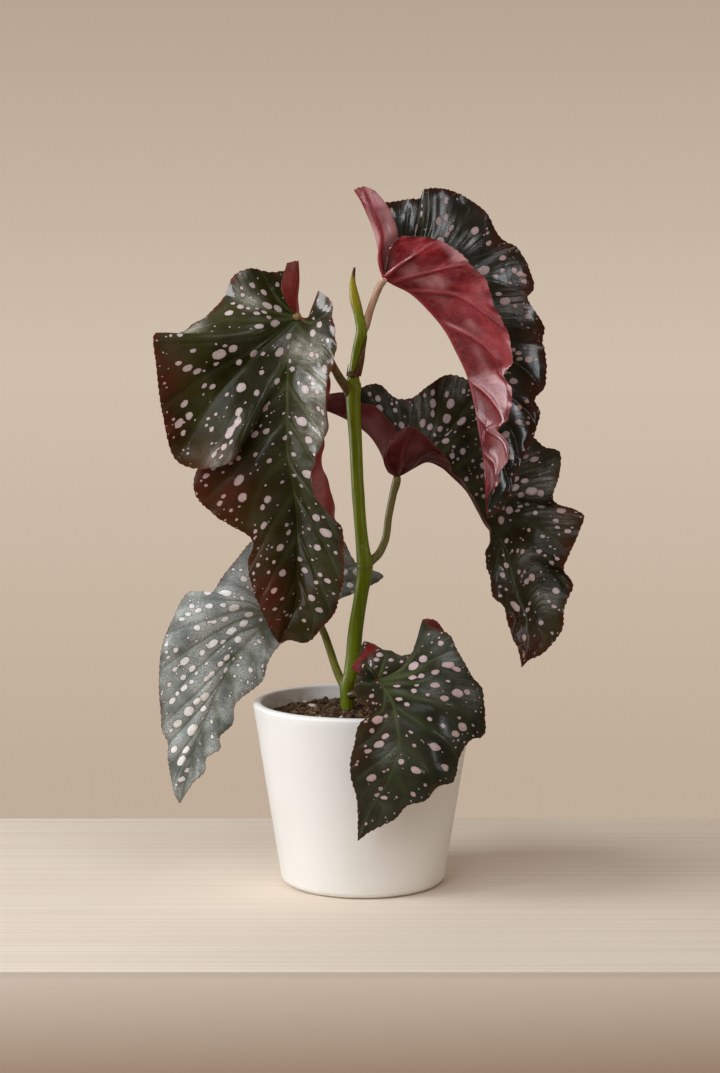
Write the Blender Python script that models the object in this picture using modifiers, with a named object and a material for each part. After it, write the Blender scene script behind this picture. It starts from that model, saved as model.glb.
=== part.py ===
"""A potted begonia: one cane in a white tapered pot, with five toothed wing-shaped leaves.

The origin is the centre of the pot's flat base. X runs to the right, Y away from the front
and Z up. Sizes are in millimetres until a mesh is made, and meshes are in metres.
"""
import math

import bmesh
import bpy
import numpy as np
from mathutils import Vector, noise

MM = 0.001
OBJECT_NAME = "potted_begonia"

# Pot: a plain tapered ceramic cover pot, 130 across and 108 high.
POT_HEIGHT = 108.0
RIM_RADIUS = 65.0
WALL_BASE_RADIUS = 48.0
FOOT_ROUNDING = 4.5
WALL = 5.0
FLOOR = 7.0
LIP_ROUNDING = 2.0
POT_SIDES = 44

# Soil: fills the pot to a little under the rim, with a plain hole for the cane.
SOIL_TOP = 99.0
SOIL_LUMP = 1.6
SOIL_RINGS = 6
STEM_HOLE_CLEARANCE = 0.5

GAP = 0.3                # between pieces that touch on the real plant
BLADE = 0.8              # leaf thickness
SHEATH = 0.6             # papery sheath thickness
TOOTH = 0.7              # how far the small teeth of a leaf's edge stand out
LEAF_ROWS = 5            # rows of faces from a midrib to its edge
WIDE_STEP = 17.0         # widest stretch of edge between two columns of a leaf

# Cane, upper shoot and growing tip: x, y, z and radius up the middle line. The wide places
# are the nodes where leaf stalks leave.
STEM_HOLE_BOTTOM = 72.0
STEM_LINE = [
    (-9.5, 0, 73, 4.3), (-9.4, 0, 96, 4.3), (-9.1, 0, 108, 4.3), (-8.8, 0, 117, 4.7),
    (-7.0, 0, 122, 5.0), (-6.0, 0, 130, 4.6), (-4.7, 0, 147, 4.4), (-1.1, 0, 171, 4.1),
    (0.8, 0, 184, 4.6), (1.0, 0, 189, 4.8), (0.0, 0, 197, 4.1), (-2.9, 0, 231, 3.7),
    (-4.4, 0, 262, 3.8), (-5.8, 0, 288, 4.4), (-5.8, 0, 294, 4.6), (-5.6, 0, 298, 3.5),
    (-3.5, 0, 314, 2.9), (-0.8, 0, 326, 3.3), (-2.6, 0, 335, 2.7), (-5.0, 0, 345, 1.9),
    (-6.0, 0, 354, 1.1), (-4.9, 0, 362, 0.4),
]
STEM_POINTS = 44
SHEATH_BASE = 299.0      # the papery sheath stands on the cane's top node
SHEATH_HEIGHT = 21.0

# Leaf stalks: x, y, z and radius from inside the cane to just under the leaf.
STALK_POINTS = 13
STALKS = {
    "petiole_upper_left": [
        (-7.5, -0.5, 289, 2.9), (-9.3, -2, 292, 2.8), (-12.8, -6, 297, 2.6),
        (-16.7, -12, 304, 2.3), (-21.3, -17, 313, 2.2), (-28, -21, 323, 2.2),
        (-36.1, -23.1, 332.0, 1.7)],
    "petiole_upper_right": [
        (-1.0, 1, 323, 2.3), (1.4, 1, 328, 2.4), (4.1, 1, 337, 2.2), (7.0, 0, 345, 2.1),
        (9.9, -2, 351.5, 2.1), (12.0, -2.7, 355.1, 1.6)],
    "petiole_mid_right": [
        (1.5, 2, 187, 2.8), (4.4, 4, 190, 2.7), (9.2, 7, 194, 2.4), (12.6, 9, 200.5, 2.3),
        (15.4, 10, 217, 2.2), (17.8, 10, 229, 2.2), (20.0, 10, 239.0, 1.7)],
    "petiole_lower_left": [
        (-9.0, 1, 113, 2.8), (-12.0, 3, 117.5, 2.6), (-16.0, 6, 126, 2.4),
        (-19.6, 9, 136.5, 2.3), (-23.5, 12, 147, 2.2), (-30.5, 14.5, 158, 2.2),
        (-41, 13.5, 163, 2.2), (-48.5, 9.5, 162, 2.0), (-52.8, 2.9, 160.1, 1.5)],
    "petiole_lower_right": [
        (-8.5, -1, 111, 2.8), (-5.0, -5, 112.5, 2.6), (-0.6, -14, 114, 2.4),
        (4.4, -30, 119, 2.3), (7.9, -47.6, 126.3, 1.7)],
}

# Leaves, in millimetres from the leaf's joint on its stalk. The midrib runs from the joint
# to the tip. Each rib is where it leaves the midrib (0 is the joint, 1 the tip) and its
# points out to the edge, in order from the cleft at the stalk round to the tip.
LEAVES = {
    "leaf_upper_left": {
        "colour": (0.030, 0.038, 0.022),
        "joint": (-37, -24, 333),
        "midrib": [(0, 0, 0), (-3, -5, -9), (-5, -9, -19), (-6, -13, -38), (-6, -15, -58),
                   (-6, -14, -78), (-3, -12, -94), (-1, -7, -115), (-1, -3, -139), (-2, 2, -163),
                   (-7, 5, -179), (-12, 8, -189)],
        "left": [
            (0, [(-4, -5, 5), (-9, -9, 16), (-6, -4, 31)]),
            (0, [(-1, 1, 11), (0, 2, 20), (0, 2, 32)]),
            (0, [(-4, 4, 10), (-5, 7, 19), (-5, 8, 28)]),
            (0, [(-10, 1, 10), (-14, 4, 17), (-17, 4, 26)]),
            (0, [(-14, -2, 9), (-21, 0, 17), (-26, 1, 28)]),
            (0, [(-17, -6, 7), (-28, -5, 14), (-35, -3, 25)]),
            (0, [(-18, -10, 3), (-33, -9, 7), (-45, 2, 8)]),
            (0, [(-20, -14, -1), (-40, -14, -1), (-63, -2, -6)]),
            (0, [(-21, -16, -5), (-46, -18, -7), (-71, -12, -11)]),
            (0, [(-23, -18, -9), (-52, -23, -11), (-80, -22, -9)]),
            (0, [(-25, -17, -13), (-52, -22, -20), (-79, -24, -29)]),
            (0, [(-26, -16, -19), (-52, -19, -35), (-76, -21, -55)]),
            (0, [(-26, -15, -23), (-47, -18, -45), (-69, -20, -80)]),
            (0.06, [(-26, -18, -35), (-41, -23, -62), (-56, -24, -85)]),
            (0.12, [(-18, -18, -44), (-28, -26, -63), (-34, -29, -78)]),
            (0.16, [(-18, -16, -48), (-26, -19, -63), (-33, -21, -72)]),
            (0.2, [(-19, -15, -52), (-31, -15, -66), (-46, -12, -77)]),
            (0.25, [(-21, -14, -61), (-40, -11, -75), (-58, -9, -87)]),
            (0.31, [(-22, -14, -72), (-40, -12, -87), (-59, -10, -100)]),
            (0.4, [(-20, -16, -84), (-33, -14, -99), (-47, -10, -113)]),
            (0.5, [(-15, -14, -105), (-26, -10, -128)]),
            (0.56, [(-14, -12, -119), (-29, -7, -139)]),
            (0.68, [(-13, -9, -143), (-26, -4, -157)]),
            (0.79, [(-11, -5, -162), (-21, -1, -170)]),
            (0.9, [(-9, 1, -175), (-16, 3, -182)]),
        ],
        "right": [
            (0, [(5, -7, -1), (8, -16, 5), (12, -23, 15)]),
            (0, [(8, -15, 0), (13, -24, 5), (19, -30, 9)]),
            (0, [(9, -16, -4), (15, -25, -1), (20, -33, 1)]),
            (0, [(10, -18, -8), (17, -28, -10), (22, -35, -15)]),
            (0.08, [(9, -21, -19), (20, -37, -26)]),
            (0.17, [(8, -25, -33), (19, -38, -38), (16, -42, -43)]),
            (0.22, [(7, -24, -43), (17, -39, -50), (17, -41, -53)]),
            (0.27, [(6, -23, -53), (17, -37, -61), (17, -39, -63)]),
            (0.33, [(5, -22, -64), (15, -36, -70), (12, -42, -74)]),
            (0.39, [(4, -21, -77), (14, -34, -82), (8, -42, -89)]),
            (0.46, [(4, -20, -89), (17, -32, -92), (10, -39, -99)]),
            (0.52, [(7, -18, -100), (21, -28, -106), (16, -32, -108)]),
            (0.58, [(11, -16, -113), (25, -22, -119)]),
            (0.65, [(14, -13, -129), (26, -17, -135)]),
            (0.73, [(14, -10, -144), (26, -13, -149)]),
            (0.8, [(11, -7, -157), (23, -8, -161)]),
            (0.86, [(8, -4, -165), (21, -4, -169)]),
            (0.9, [(6, 0, -173), (13, 0, -179)]),
            (0.95, [(-1, 4, -182), (4, 4, -188)]),
            (0.98, [(-8, 7, -185), (-7, 7, -187)]),
        ],
    },
    "leaf_upper_right": {
        "colour": (0.035, 0.035, 0.020),
        "joint": (12, -3, 356),
        "midrib": [(0, 0, 0), (5, 2, -3), (15, 3, -8), (27, 4, -19), (36, 4, -30), (43, 4, -43),
                   (49, 3, -56), (53, 2, -71), (56, 1, -88), (59, 0, -106), (60, -1, -123),
                   (61, -2, -140)],
        "left": [
            (0, [(5, -1, 12), (8, -7, 24), (3, -9, 39), (-5, -6, 49)]),
            (0, [(-2, -5, 11), (1, -10, 24), (-4, -11, 38), (-11, -7, 52)]),
            (0, [(-2, -3, 9), (-5, -4, 23), (-11, -4, 38), (-17, -3, 50)]),
            (0, [(0, 3, 9), (0, 6, 22), (-4, 7, 35), (-7, 6, 44)]),
            (0, [(3, 6, 9), (5, 11, 22), (4, 13, 34), (2, 12, 44)]),
            (0, [(7, 8, 9), (12, 14, 23), (14, 16, 35), (15, 15, 46)]),
            (0, [(13, 9, 9), (18, 17, 22), (21, 19, 36), (22, 20, 47)]),
            (0, [(15, 9, 9), (22, 13, 25), (24, 13, 38), (23, 12, 51)]),
            (0, [(21, 10, 9), (32, 17, 27), (36, 17, 52)]),
            (0, [(26, 11, 7), (38, 19, 25), (49, 21, 47)]),
            (0, [(29, 11, 4), (45, 19, 19), (60, 23, 39)]),
            (0.1, [(35, 13, 2), (69, 25, 24)]),
            (0.18, [(44, 13, -1), (79, 25, 18)]),
            (0.27, [(54, 13, -8), (89, 26, -6)]),
            (0.31, [(57, 13, -16), (85, 21, -11)]),
            (0.37, [(61, 12, -27), (95, 23, -28)]),
            (0.43, [(65, 11, -38), (94, 19, -37)]),
            (0.5, [(70, 11, -49), (96, 20, -46)]),
            (0.58, [(73, 9, -61), (95, 17, -64)]),
            (0.63, [(73, 6, -69), (89, 11, -71)]),
            (0.69, [(74, 6, -78), (92, 13, -78)]),
            (0.77, [(73, 4, -90), (88, 9, -93)]),
            (0.84, [(71, 2, -101), (82, 5, -104)]),
            (0.9, [(70, 1, -113), (78, 4, -114)]),
            (0.95, [(68, 0, -123), (75, 2, -124)]),
            (0.98, [(65, -1, -132), (69, 0, -134)]),
        ],
        "right": [
            (0, [(2, -9, 9), (3, -13, 16), (5, -15, 19)]),
            (0, [(2, -8, 10), (6, -14, 17), (10, -17, 23)]),
            (0, [(5, -9, 10), (9, -15, 17), (18, -19, 23)]),
            (0, [(9, -10, 9), (17, -17, 15), (27, -21, 22)]),
            (0, [(14, -10, 7), (25, -19, 12), (37, -24, 18)]),
            (0.04, [(25, -13, 4), (45, -25, 12)]),
            (0.1, [(32, -15, 1), (50, -26, 6)]),
            (0.16, [(37, -15, -5), (58, -27, -2)]),
            (0.22, [(44, -15, -12), (62, -27, -15)]),
            (0.29, [(49, -15, -23), (67, -27, -24)]),
            (0.37, [(55, -15, -34), (72, -28, -37)]),
            (0.44, [(59, -14, -45), (73, -26, -49)]),
            (0.49, [(60, -11, -52), (69, -20, -55)]),
            (0.55, [(62, -12, -61), (73, -24, -64)]),
            (0.63, [(64, -12, -72), (73, -24, -73)]),
            (0.69, [(65, -11, -82), (71, -22, -81)]),
            (0.73, [(61, -8, -87), (66, -14, -88)]),
            (0.78, [(66, -10, -95), (72, -20, -95)]),
            (0.84, [(66, -9, -103), (71, -18, -105)]),
            (0.89, [(65, -8, -111), (67, -14, -113)]),
            (0.93, [(64, -6, -118), (66, -10, -120)]),
            (0.965, [(61, -4, -128), (61, -6, -125)]),
        ],
    },
    "leaf_mid_right": {
        "colour": (0.030, 0.036, 0.024),
        "joint": (20, 10, 240),
        "midrib": [(0, 0, 0), (4, -1, 2), (9, -2, 5), (18, -2, 9), (26, -1, 6), (34, 1, -1),
                   (41, 2, -8), (48, 2, -20), (53, 2, -29), (58, 2, -35), (64, 1, -43),
                   (68, 0, -59), (73, -1, -73), (77, -2, -86), (77, -4, -100), (74, -7, -113)],
        "left": [
            (0, [(-5, -1, 2), (-7, -3, 8), (-8, -5, 14), (-7, -8, 19)]),
            (0, [(-5, -6, 3), (-8, -9, 9), (-7, -11, 16), (-4, -13, 22)]),
            (0, [(-2, -9, 7), (-2, -14, 16), (3, -17, 29)]),
            (0, [(2, -10, 8), (4, -16, 19), (9, -20, 30)]),
            (0, [(6, -10, 10), (10, -16, 20), (15, -20, 26)]),
            (0.06, [(11, -11, 11), (16, -16, 17), (21, -19, 20)]),
            (0.13, [(18, -11, 13), (26, -17, 15)]),
            (0.19, [(25, -10, 10), (30, -14, 10)]),
            (0.24, [(30, -6, 5), (32, -11, 4)]),
            (0.28, [(35, -4, 0), (35, -9, 0)]),
            (0.33, [(39, -5, -4), (40, -13, -4)]),
            (0.38, [(43, -6, -11), (44, -16, -12)]),
            (0.43, [(47, -6, -16), (48, -17, -19)]),
            (0.48, [(51, -6, -24), (52, -17, -26)]),
            (0.53, [(55, -6, -31), (55, -15, -33)]),
            (0.57, [(56, -5, -36), (54, -12, -40)]),
            (0.62, [(57, -3, -42), (52, -9, -45)]),
            (0.68, [(59, -2, -51), (53, -7, -53)]),
            (0.75, [(62, -2, -61), (55, -6, -60)]),
            (0.81, [(64, -2, -70), (57, -6, -71)]),
            (0.86, [(68, -3, -78), (63, -6, -77)]),
            (0.9, [(71, -4, -87), (66, -6, -88)]),
            (0.94, [(72, -5, -95), (68, -7, -94)]),
            (0.97, [(74, -6, -103), (72, -7, -103)]),
        ],
        "right": [
            (0, [(-2, 1, 12), (0, -1, 25), (-5, 0, 33), (-13, 2, 41), (-21, 4, 43), (-31, 6, 49),
                 (-41, 7, 48)]),
            (0, [(-4, 3, 8), (-7, 3, 21), (-18, 4, 33), (-31, 6, 42), (-44, 8, 43)]),
            (0, [(-5, 5, 4), (-8, 7, 12), (-15, 8, 23), (-29, 9, 33), (-43, 10, 39)]),
            (0, [(-3, 9, 7), (-7, 14, 19), (-17, 14, 32), (-30, 14, 40), (-41, 14, 43)]),
            (0, [(0, 10, 10), (-4, 16, 25), (-12, 17, 38), (-18, 17, 44), (-25, 16, 50)]),
            (0, [(3, 10, 12), (0, 16, 28), (-7, 17, 44), (-12, 16, 54)]),
            (0, [(6, 9, 12), (4, 16, 26), (1, 15, 45)]),
            (0, [(9, 8, 13), (11, 16, 28), (10, 15, 46)]),
            (0, [(11, 8, 13), (18, 17, 29), (18, 18, 52)]),
            (0, [(15, 8, 12), (25, 19, 32), (30, 21, 59)]),
            (0.08, [(31, 20, 26), (45, 21, 55)]),
            (0.16, [(41, 22, 29), (60, 20, 44)]),
            (0.22, [(48, 22, 20), (71, 20, 34)]),
            (0.27, [(56, 22, 12), (82, 20, 22)]),
            (0.31, [(60, 23, 7), (89, 23, 16)]),
            (0.35, [(65, 24, 0), (98, 25, 13)]),
            (0.4, [(68, 23, -8), (98, 23, -1)]),
            (0.45, [(71, 22, -14), (94, 19, -13)]),
            (0.475, [(72, 26, -17), (96, 26, -18)]),
            (0.5, [(75, 26, -21), (104, 26, -21)]),
            (0.54, [(77, 22, -24), (112, 21, -24)]),
            (0.6, [(81, 18, -36), (110, 18, -34)]),
            (0.64, [(83, 15, -44), (105, 14, -45)]),
            (0.67, [(84, 14, -49), (100, 11, -56)]),
            (0.69, [(83, 17, -53), (102, 17, -60)]),
            (0.72, [(86, 15, -59), (106, 14, -66)]),
            (0.77, [(87, 11, -68), (103, 9, -73)]),
            (0.82, [(88, 8, -76), (100, 6, -80)]),
            (0.88, [(88, 4, -86), (99, 3, -91)]),
            (0.92, [(87, 2, -95), (92, 1, -101)]),
            (0.95, [(84, 0, -102), (85, -1, -107)]),
            (0.975, [(79, -2, -105), (79, -3, -109)]),
        ],
    },
    "leaf_lower_left": {
        "colour": (0.075, 0.090, 0.075),
        "joint": (-54, 0, 159),
        "midrib": [(0, 0, 0), (-7, -4, -8), (-20, -9, -23), (-30, -12, -40), (-38, -15, -59),
                   (-44, -18, -76), (-49, -21, -94), (-53, -24, -108)],
        "left": [
            (0, [(2, 3, 14), (0, 5, 32), (-3, 5, 45)]),
            (0, [(-2, 2, 15), (-7, 2, 32), (-10, 3, 44)]),
            (0, [(-5, 0, 14), (-12, -2, 27), (-21, -2, 32)]),
            (0, [(-9, -2, 13), (-18, -5, 21), (-29, -5, 22)]),
            (0, [(-11, -3, 10), (-23, -6, 14), (-35, -4, 13)]),
            (0, [(-12, -5, 8), (-27, -9, 11), (-48, -8, 14)]),
            (0, [(-13, -6, 6), (-32, -12, 4), (-57, -12, -1)]),
            (0, [(-14, -6, 2), (-36, -13, -5), (-63, -15, -16)]),
            (0, [(-14, -6, -3), (-37, -12, -16), (-65, -17, -39)]),
            (0.1, [(-18, -8, -12), (-39, -14, -30), (-64, -18, -56)]),
            (0.26, [(-38, -15, -43), (-63, -18, -67)]),
            (0.38, [(-41, -15, -52), (-60, -18, -73)]),
            (0.5, [(-44, -17, -63), (-60, -20, -81)]),
            (0.66, [(-48, -19, -77), (-58, -22, -93)]),
            (0.85, [(-52, -22, -92), (-56, -24, -102)]),
        ],
        "right": [
            (0, [(11, 5, 14), (23, 9, 25), (34, 11, 36), (43, 13, 42)]),
            (0, [(17, 7, 14), (36, 12, 26), (50, 15, 29)]),
            (0, [(20, 8, 12), (43, 14, 21), (66, 17, 21)]),
            (0, [(20, 7, 8), (36, 12, 11), (49, 14, 11)]),
            (0, [(17, 5, 2), (27, 8, 5), (39, 11, 7)]),
            (0, [(12, 3, -4), (20, 4, -4), (27, 5, -2)]),
            (0, [(6, 1, -7), (11, 0, -10), (16, 1, -12)]),
            (0.05, [(-1, -2, -10), (5, -3, -18)]),
            (0.12, [(-5, -5, -16), (-1, -6, -26)]),
            (0.22, [(-12, -8, -21), (-5, -9, -38)]),
            (0.33, [(-16, -10, -34), (-12, -11, -44)]),
            (0.42, [(-24, -12, -45), (-21, -13, -52)]),
            (0.5, [(-27, -14, -55), (-22, -16, -62)]),
            (0.57, [(-33, -16, -65), (-30, -17, -71)]),
            (0.63, [(-35, -17, -71), (-29, -19, -76)]),
            (0.72, [(-41, -18, -79), (-38, -19, -83)]),
            (0.78, [(-42, -19, -85), (-38, -21, -89)]),
            (0.88, [(-46, -21, -95), (-45, -22, -96)]),
        ],
    },
    "leaf_lower_right": {
        "colour": (0.035, 0.048, 0.030),
        "joint": (8, -50, 128),
        "midrib": [(0, 0, 0), (5, -10, -5), (9, -19, -11), (11, -26, -21), (12, -30, -32),
                   (9, -32, -43), (6, -33, -51), (-1, -32, -62), (-11, -26, -87)],
        "left": [
            (0, [(-1, -4, 8), (-2, -1, 13), (-3, 4, 16)]),
            (0, [(-2, -2, 5), (-6, 1, 10)]),
            (0, [(-5, -6, 2), (-10, -6, 6)]),
            (0, [(-5, -10, -2), (-13, -14, -3)]),
            (0, [(-4, -12, -4), (-11, -20, -8)]),
            (0.08, [(-1, -15, -7), (-6, -23, -11)]),
            (0.16, [(3, -21, -14), (-5, -25, -16)]),
            (0.24, [(1, -25, -18), (-10, -28, -20)]),
            (0.34, [(0, -29, -28), (-13, -32, -31)]),
            (0.44, [(-1, -32, -37), (-15, -35, -39)]),
            (0.54, [(-3, -34, -45), (-15, -36, -48)]),
            (0.66, [(-4, -34, -55), (-12, -35, -59)]),
            (0.8, [(-6, -31, -67), (-11, -31, -71)]),
            (0.92, [(-9, -27, -78), (-11, -27, -80)]),
        ],
        "right": [
            (0, [(-3, 7, 1), (-7, 16, 1), (-11, 21, 1)]),
            (0, [(-4, 9, 4), (-11, 22, 6), (-15, 27, 3)]),
            (0, [(-2, 11, 6), (-5, 25, 11), (-10, 32, 10)]),
            (0, [(0, 13, 7), (-1, 27, 12), (-7, 37, 17)]),
            (0, [(2, 14, 7), (3, 23, 11), (1, 33, 14)]),
            (0, [(6, 13, 6), (8, 21, 9), (8, 30, 12)]),
            (0, [(10, 12, 5), (13, 19, 8), (15, 28, 10)]),
            (0, [(13, 11, 3), (19, 18, 8), (23, 28, 11)]),
            (0, [(17, 10, 3), (28, 22, 11), (40, 31, 19)]),
            (0, [(15, 8, 5), (26, 20, 17), (35, 27, 30)]),
            (0, [(14, 4, 6), (21, 13, 15), (27, 21, 32)]),
            (0, [(15, 1, 6), (25, 7, 16), (32, 14, 28)]),
            (0, [(18, -1, 5), (30, 4, 15), (41, 9, 25)]),
            (0, [(20, -4, 4), (33, 2, 11), (46, 6, 16)]),
            (0, [(22, -7, 2), (38, -2, 5), (54, 4, 2)]),
            (0.08, [(24, -12, -2), (41, -6, -1), (59, 2, -4)]),
            (0.16, [(30, -17, -10), (61, -2, -16)]),
            (0.25, [(32, -21, -19), (60, -7, -31)]),
            (0.31, [(29, -24, -24), (53, -13, -32)]),
            (0.38, [(29, -27, -32), (46, -19, -41)]),
            (0.46, [(28, -30, -43), (42, -25, -54)]),
            (0.53, [(24, -32, -47), (35, -28, -55)]),
            (0.6, [(17, -33, -55), (25, -30, -64)]),
            (0.67, [(14, -33, -58), (18, -31, -65)]),
            (0.75, [(8, -33, -64), (10, -31, -73)]),
            (0.85, [(0, -31, -69), (2, -29, -78)]),
            (0.93, [(-7, -28, -79), (-5, -27, -82)]),
        ],
    },
}


def clear_scene():
    for item in list(bpy.data.objects):
        bpy.data.objects.remove(item, do_unlink=True)


def new_collection(name):
    collection = bpy.data.collections.new(name)
    bpy.context.scene.collection.children.link(collection)
    return collection


def new_material(name, colour, roughness):
    material = bpy.data.materials.new(name)
    material.use_nodes = True
    shader = material.node_tree.nodes["Principled BSDF"]
    shader.inputs["Base Color"].default_value = (*colour, 1.0)
    shader.inputs["Roughness"].default_value = roughness
    shader.inputs["Metallic"].default_value = 0.0
    return material


def new_object(name, data, collection, material=None):
    item = bpy.data.objects.new(name, data)
    collection.objects.link(item)
    if material:
        data.materials.append(material)
    return item


def smooth_curve(stations, points, at):
    """Read a cubic curve, which passes through the points at their stations, at other ones."""
    stations, points, at = (np.asarray(a, float) for a in (stations, points, at))
    slopes = np.gradient(points, stations, axis=0)
    first = np.clip(np.searchsorted(stations, at, side="right") - 1, 0, len(stations) - 2)
    shape = (len(at),) + (1,) * (points.ndim - 1)
    span = (stations[first + 1] - stations[first]).reshape(shape)
    t = (at - stations[first]).reshape(shape) / span
    return ((1 + 2 * t) * (1 - t) ** 2 * points[first] + t * (1 - t) ** 2 * span * slopes[first]
            + t * t * (3 - 2 * t) * points[first + 1]
            - t * t * (1 - t) * span * slopes[first + 1])


def along(points):
    """Share of the whole length at which each point of a line lies."""
    steps = np.linalg.norm(np.diff(np.asarray(points, float)[:, :3], axis=0), axis=1)
    return np.concatenate([[0.0], np.cumsum(steps)]) / steps.sum()


def smooth_line(points, count):
    return smooth_curve(along(points), points, np.linspace(0, 1, count))


# Pot and soil

def inner_radius(height):
    """Radius of the pot's inner wall at a height."""
    slope = (RIM_RADIUS - WALL_BASE_RADIUS) / POT_HEIGHT
    return WALL_BASE_RADIUS + slope * height - WALL


def quarter(centre_x, centre_z, radius, start, end, steps=4):
    """Points of a rounding, from one angle to another in degrees."""
    angles = np.radians(np.linspace(start, end, steps + 1))
    return [(centre_x + radius * math.cos(a), centre_z + radius * math.sin(a)) for a in angles]


def turned(name, profile, sides, collection, material):
    """Turn a profile, which starts and ends on the axis, with a Screw modifier."""
    mesh = bpy.data.meshes.new(name)
    points = [(x * MM, 0.0, z * MM) for x, z in profile]
    mesh.from_pydata(points, [(i, i + 1) for i in range(len(points) - 1)], [])
    item = new_object(name, mesh, collection, material)
    screw = item.modifiers.new("Turn", "SCREW")
    screw.steps = screw.render_steps = sides
    screw.use_merge_vertices = True
    screw.merge_threshold = 0.00005
    screw.use_smooth_shade = True
    return item


def make_pot(collection):
    glaze = new_material("pot_white", (0.83, 0.81, 0.77), 0.42)
    profile = [(0.0, FLOOR), (inner_radius(FLOOR) - 3.0, FLOOR)]
    profile += [(inner_radius(FLOOR + 3.0), FLOOR + 3.0)]
    lip_z = POT_HEIGHT - LIP_ROUNDING
    profile += quarter(inner_radius(POT_HEIGHT) + LIP_ROUNDING, lip_z, LIP_ROUNDING, 180, 90)
    profile += quarter(RIM_RADIUS - LIP_ROUNDING, lip_z, LIP_ROUNDING, 90, 0)
    profile += quarter(WALL_BASE_RADIUS + 0.7 - FOOT_ROUNDING, FOOT_ROUNDING, FOOT_ROUNDING, 0, -90)
    profile += [(0.0, 0.0)]
    return turned("pot", profile, POT_SIDES, collection, glaze)


def applied_mesh(item):
    """The object's mesh with its modifiers applied, in world space, its doubled points joined."""
    bpy.context.view_layer.update()
    evaluated = item.evaluated_get(bpy.context.evaluated_depsgraph_get())
    mesh = bpy.data.meshes.new_from_object(evaluated)
    mesh.transform(item.matrix_world)
    work = bmesh.new()
    work.from_mesh(mesh)
    bmesh.ops.remove_doubles(work, verts=work.verts, dist=0.00001)
    work.to_mesh(mesh)
    work.free()
    return mesh


def soil_height(x, y):
    """Crumbly surface, in millimetres above or below the soil's level."""
    coarse = noise.noise(Vector((x / 11.0, y / 11.0, 3.0)))
    fine = noise.noise(Vector((x / 5.0, y / 5.0, 8.0)))
    return SOIL_LUMP * (coarse + 0.6 * fine)


def make_soil(collection, cutters):
    peat = new_material("soil_peat", (0.045, 0.028, 0.018), 0.95)
    edge = inner_radius(SOIL_TOP) - GAP
    bottom = FLOOR + GAP
    profile = [(edge * i / SOIL_RINGS, SOIL_TOP) for i in range(SOIL_RINGS + 1)]
    profile += [(inner_radius(FLOOR + 3.0) - GAP - 0.3, FLOOR + 3.0)]
    profile += [(inner_radius(FLOOR) - 3.5 - GAP, bottom), (0.0, bottom)]
    plug = turned("soil_plug", profile, 40, cutters, peat)
    mesh = applied_mesh(plug)
    bpy.data.objects.remove(plug, do_unlink=True)
    for vertex in mesh.vertices:
        x, y = vertex.co.x / MM, vertex.co.y / MM
        if vertex.co.z > (SOIL_TOP - 1.0) * MM and math.hypot(x, y) < edge - 1.0:
            vertex.co.z += soil_height(x, y) * MM
    soil = new_object("soil", mesh, collection, peat)
    mesh.shade_smooth()
    bpy.ops.mesh.primitive_cylinder_add(
        vertices=24, radius=(STEM_LINE[0][3] + STEM_HOLE_CLEARANCE) * MM, depth=0.06,
        location=(STEM_LINE[0][0] * MM, 0.0, STEM_HOLE_BOTTOM * MM + 0.03))
    hole = bpy.context.object
    hole.name = "stem_hole"
    to_cutters(hole, cutters)
    cut(soil, hole)
    return soil


def to_cutters(item, cutters):
    for owner in list(item.users_collection):
        owner.objects.unlink(item)
    cutters.objects.link(item)
    item.hide_render = True
    item.display_type = "WIRE"


def cut(item, cutter):
    boolean = item.modifiers.new("Cut", "BOOLEAN")
    boolean.operation = "DIFFERENCE"
    boolean.solver = "EXACT"
    boolean.object = cutter


# Stem and leaf stalks

def tube(name, line, count, collection, material, resolution, extra=0.0):
    """A tube along a line of x, y, z and radius, as a mesh with welded caps."""
    points = smooth_line(line, count)
    curve = bpy.data.curves.new(name, "CURVE")
    curve.dimensions = "3D"
    curve.bevel_depth = MM
    curve.bevel_resolution = resolution
    curve.use_fill_caps = True
    spline = curve.splines.new("POLY")
    spline.points.add(count - 1)
    for target, (x, y, z, radius) in zip(spline.points, points):
        target.co = (x * MM, y * MM, z * MM, 1.0)
        target.radius = radius + extra
    guide = new_object(name + "_curve", curve, collection)
    mesh = applied_mesh(guide)
    bpy.data.objects.remove(guide, do_unlink=True)
    mesh.name = name
    mesh.shade_smooth()
    return new_object(name, mesh, collection, material)


def make_stem(collection):
    green = new_material("stem_green", (0.11, 0.17, 0.02), 0.38)
    return tube("stem", STEM_LINE, STEM_POINTS, collection, green, 3)


def make_stalks(collection, cutters):
    """Leaf stalks, each cut back to a small gap where it meets the cane."""
    olive = new_material("petiole_olive", (0.15, 0.12, 0.03), 0.4)
    seat = tube("stem_clearance", STEM_LINE, STEM_POINTS, cutters, None, 3, extra=GAP)
    to_cutters(seat, cutters)
    for name, line in STALKS.items():
        cut(tube(name, line, STALK_POINTS, collection, olive, 2), seat)


def make_sheath(collection):
    """Papery sheath that wraps the shoot above the top node, tall on the right side."""
    brown = new_material("sheath_brown", (0.10, 0.035, 0.015), 0.7)
    line = np.array(STEM_LINE)
    angles = np.radians(np.linspace(-200, 110, 15))
    rows = 3
    work = bmesh.new()
    grid = []
    for angle in angles:
        tall = SHEATH_HEIGHT * math.exp(-(angle / 0.95) ** 2)
        tall += 4.0 * math.exp(-((angle + 3.05) / 0.25) ** 2) + 2.5
        column = []
        for row in range(rows + 1):
            share = row / rows
            z = SHEATH_BASE + tall * share
            x = np.interp(z, line[:, 2], line[:, 0])
            radius = np.interp(z, line[:, 2], line[:, 3]) + GAP + SHEATH / 2 + 0.3
            radius += 1.1 * math.sin(math.pi * share) * math.exp(-(angle / 1.2) ** 2)
            column.append(work.verts.new((
                (x + radius * math.cos(angle)) * MM, radius * math.sin(angle) * MM, z * MM)))
        grid.append(column)
    add_faces(work, grid, flip=True)
    return shell("sheath", work, SHEATH, collection, brown)


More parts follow.
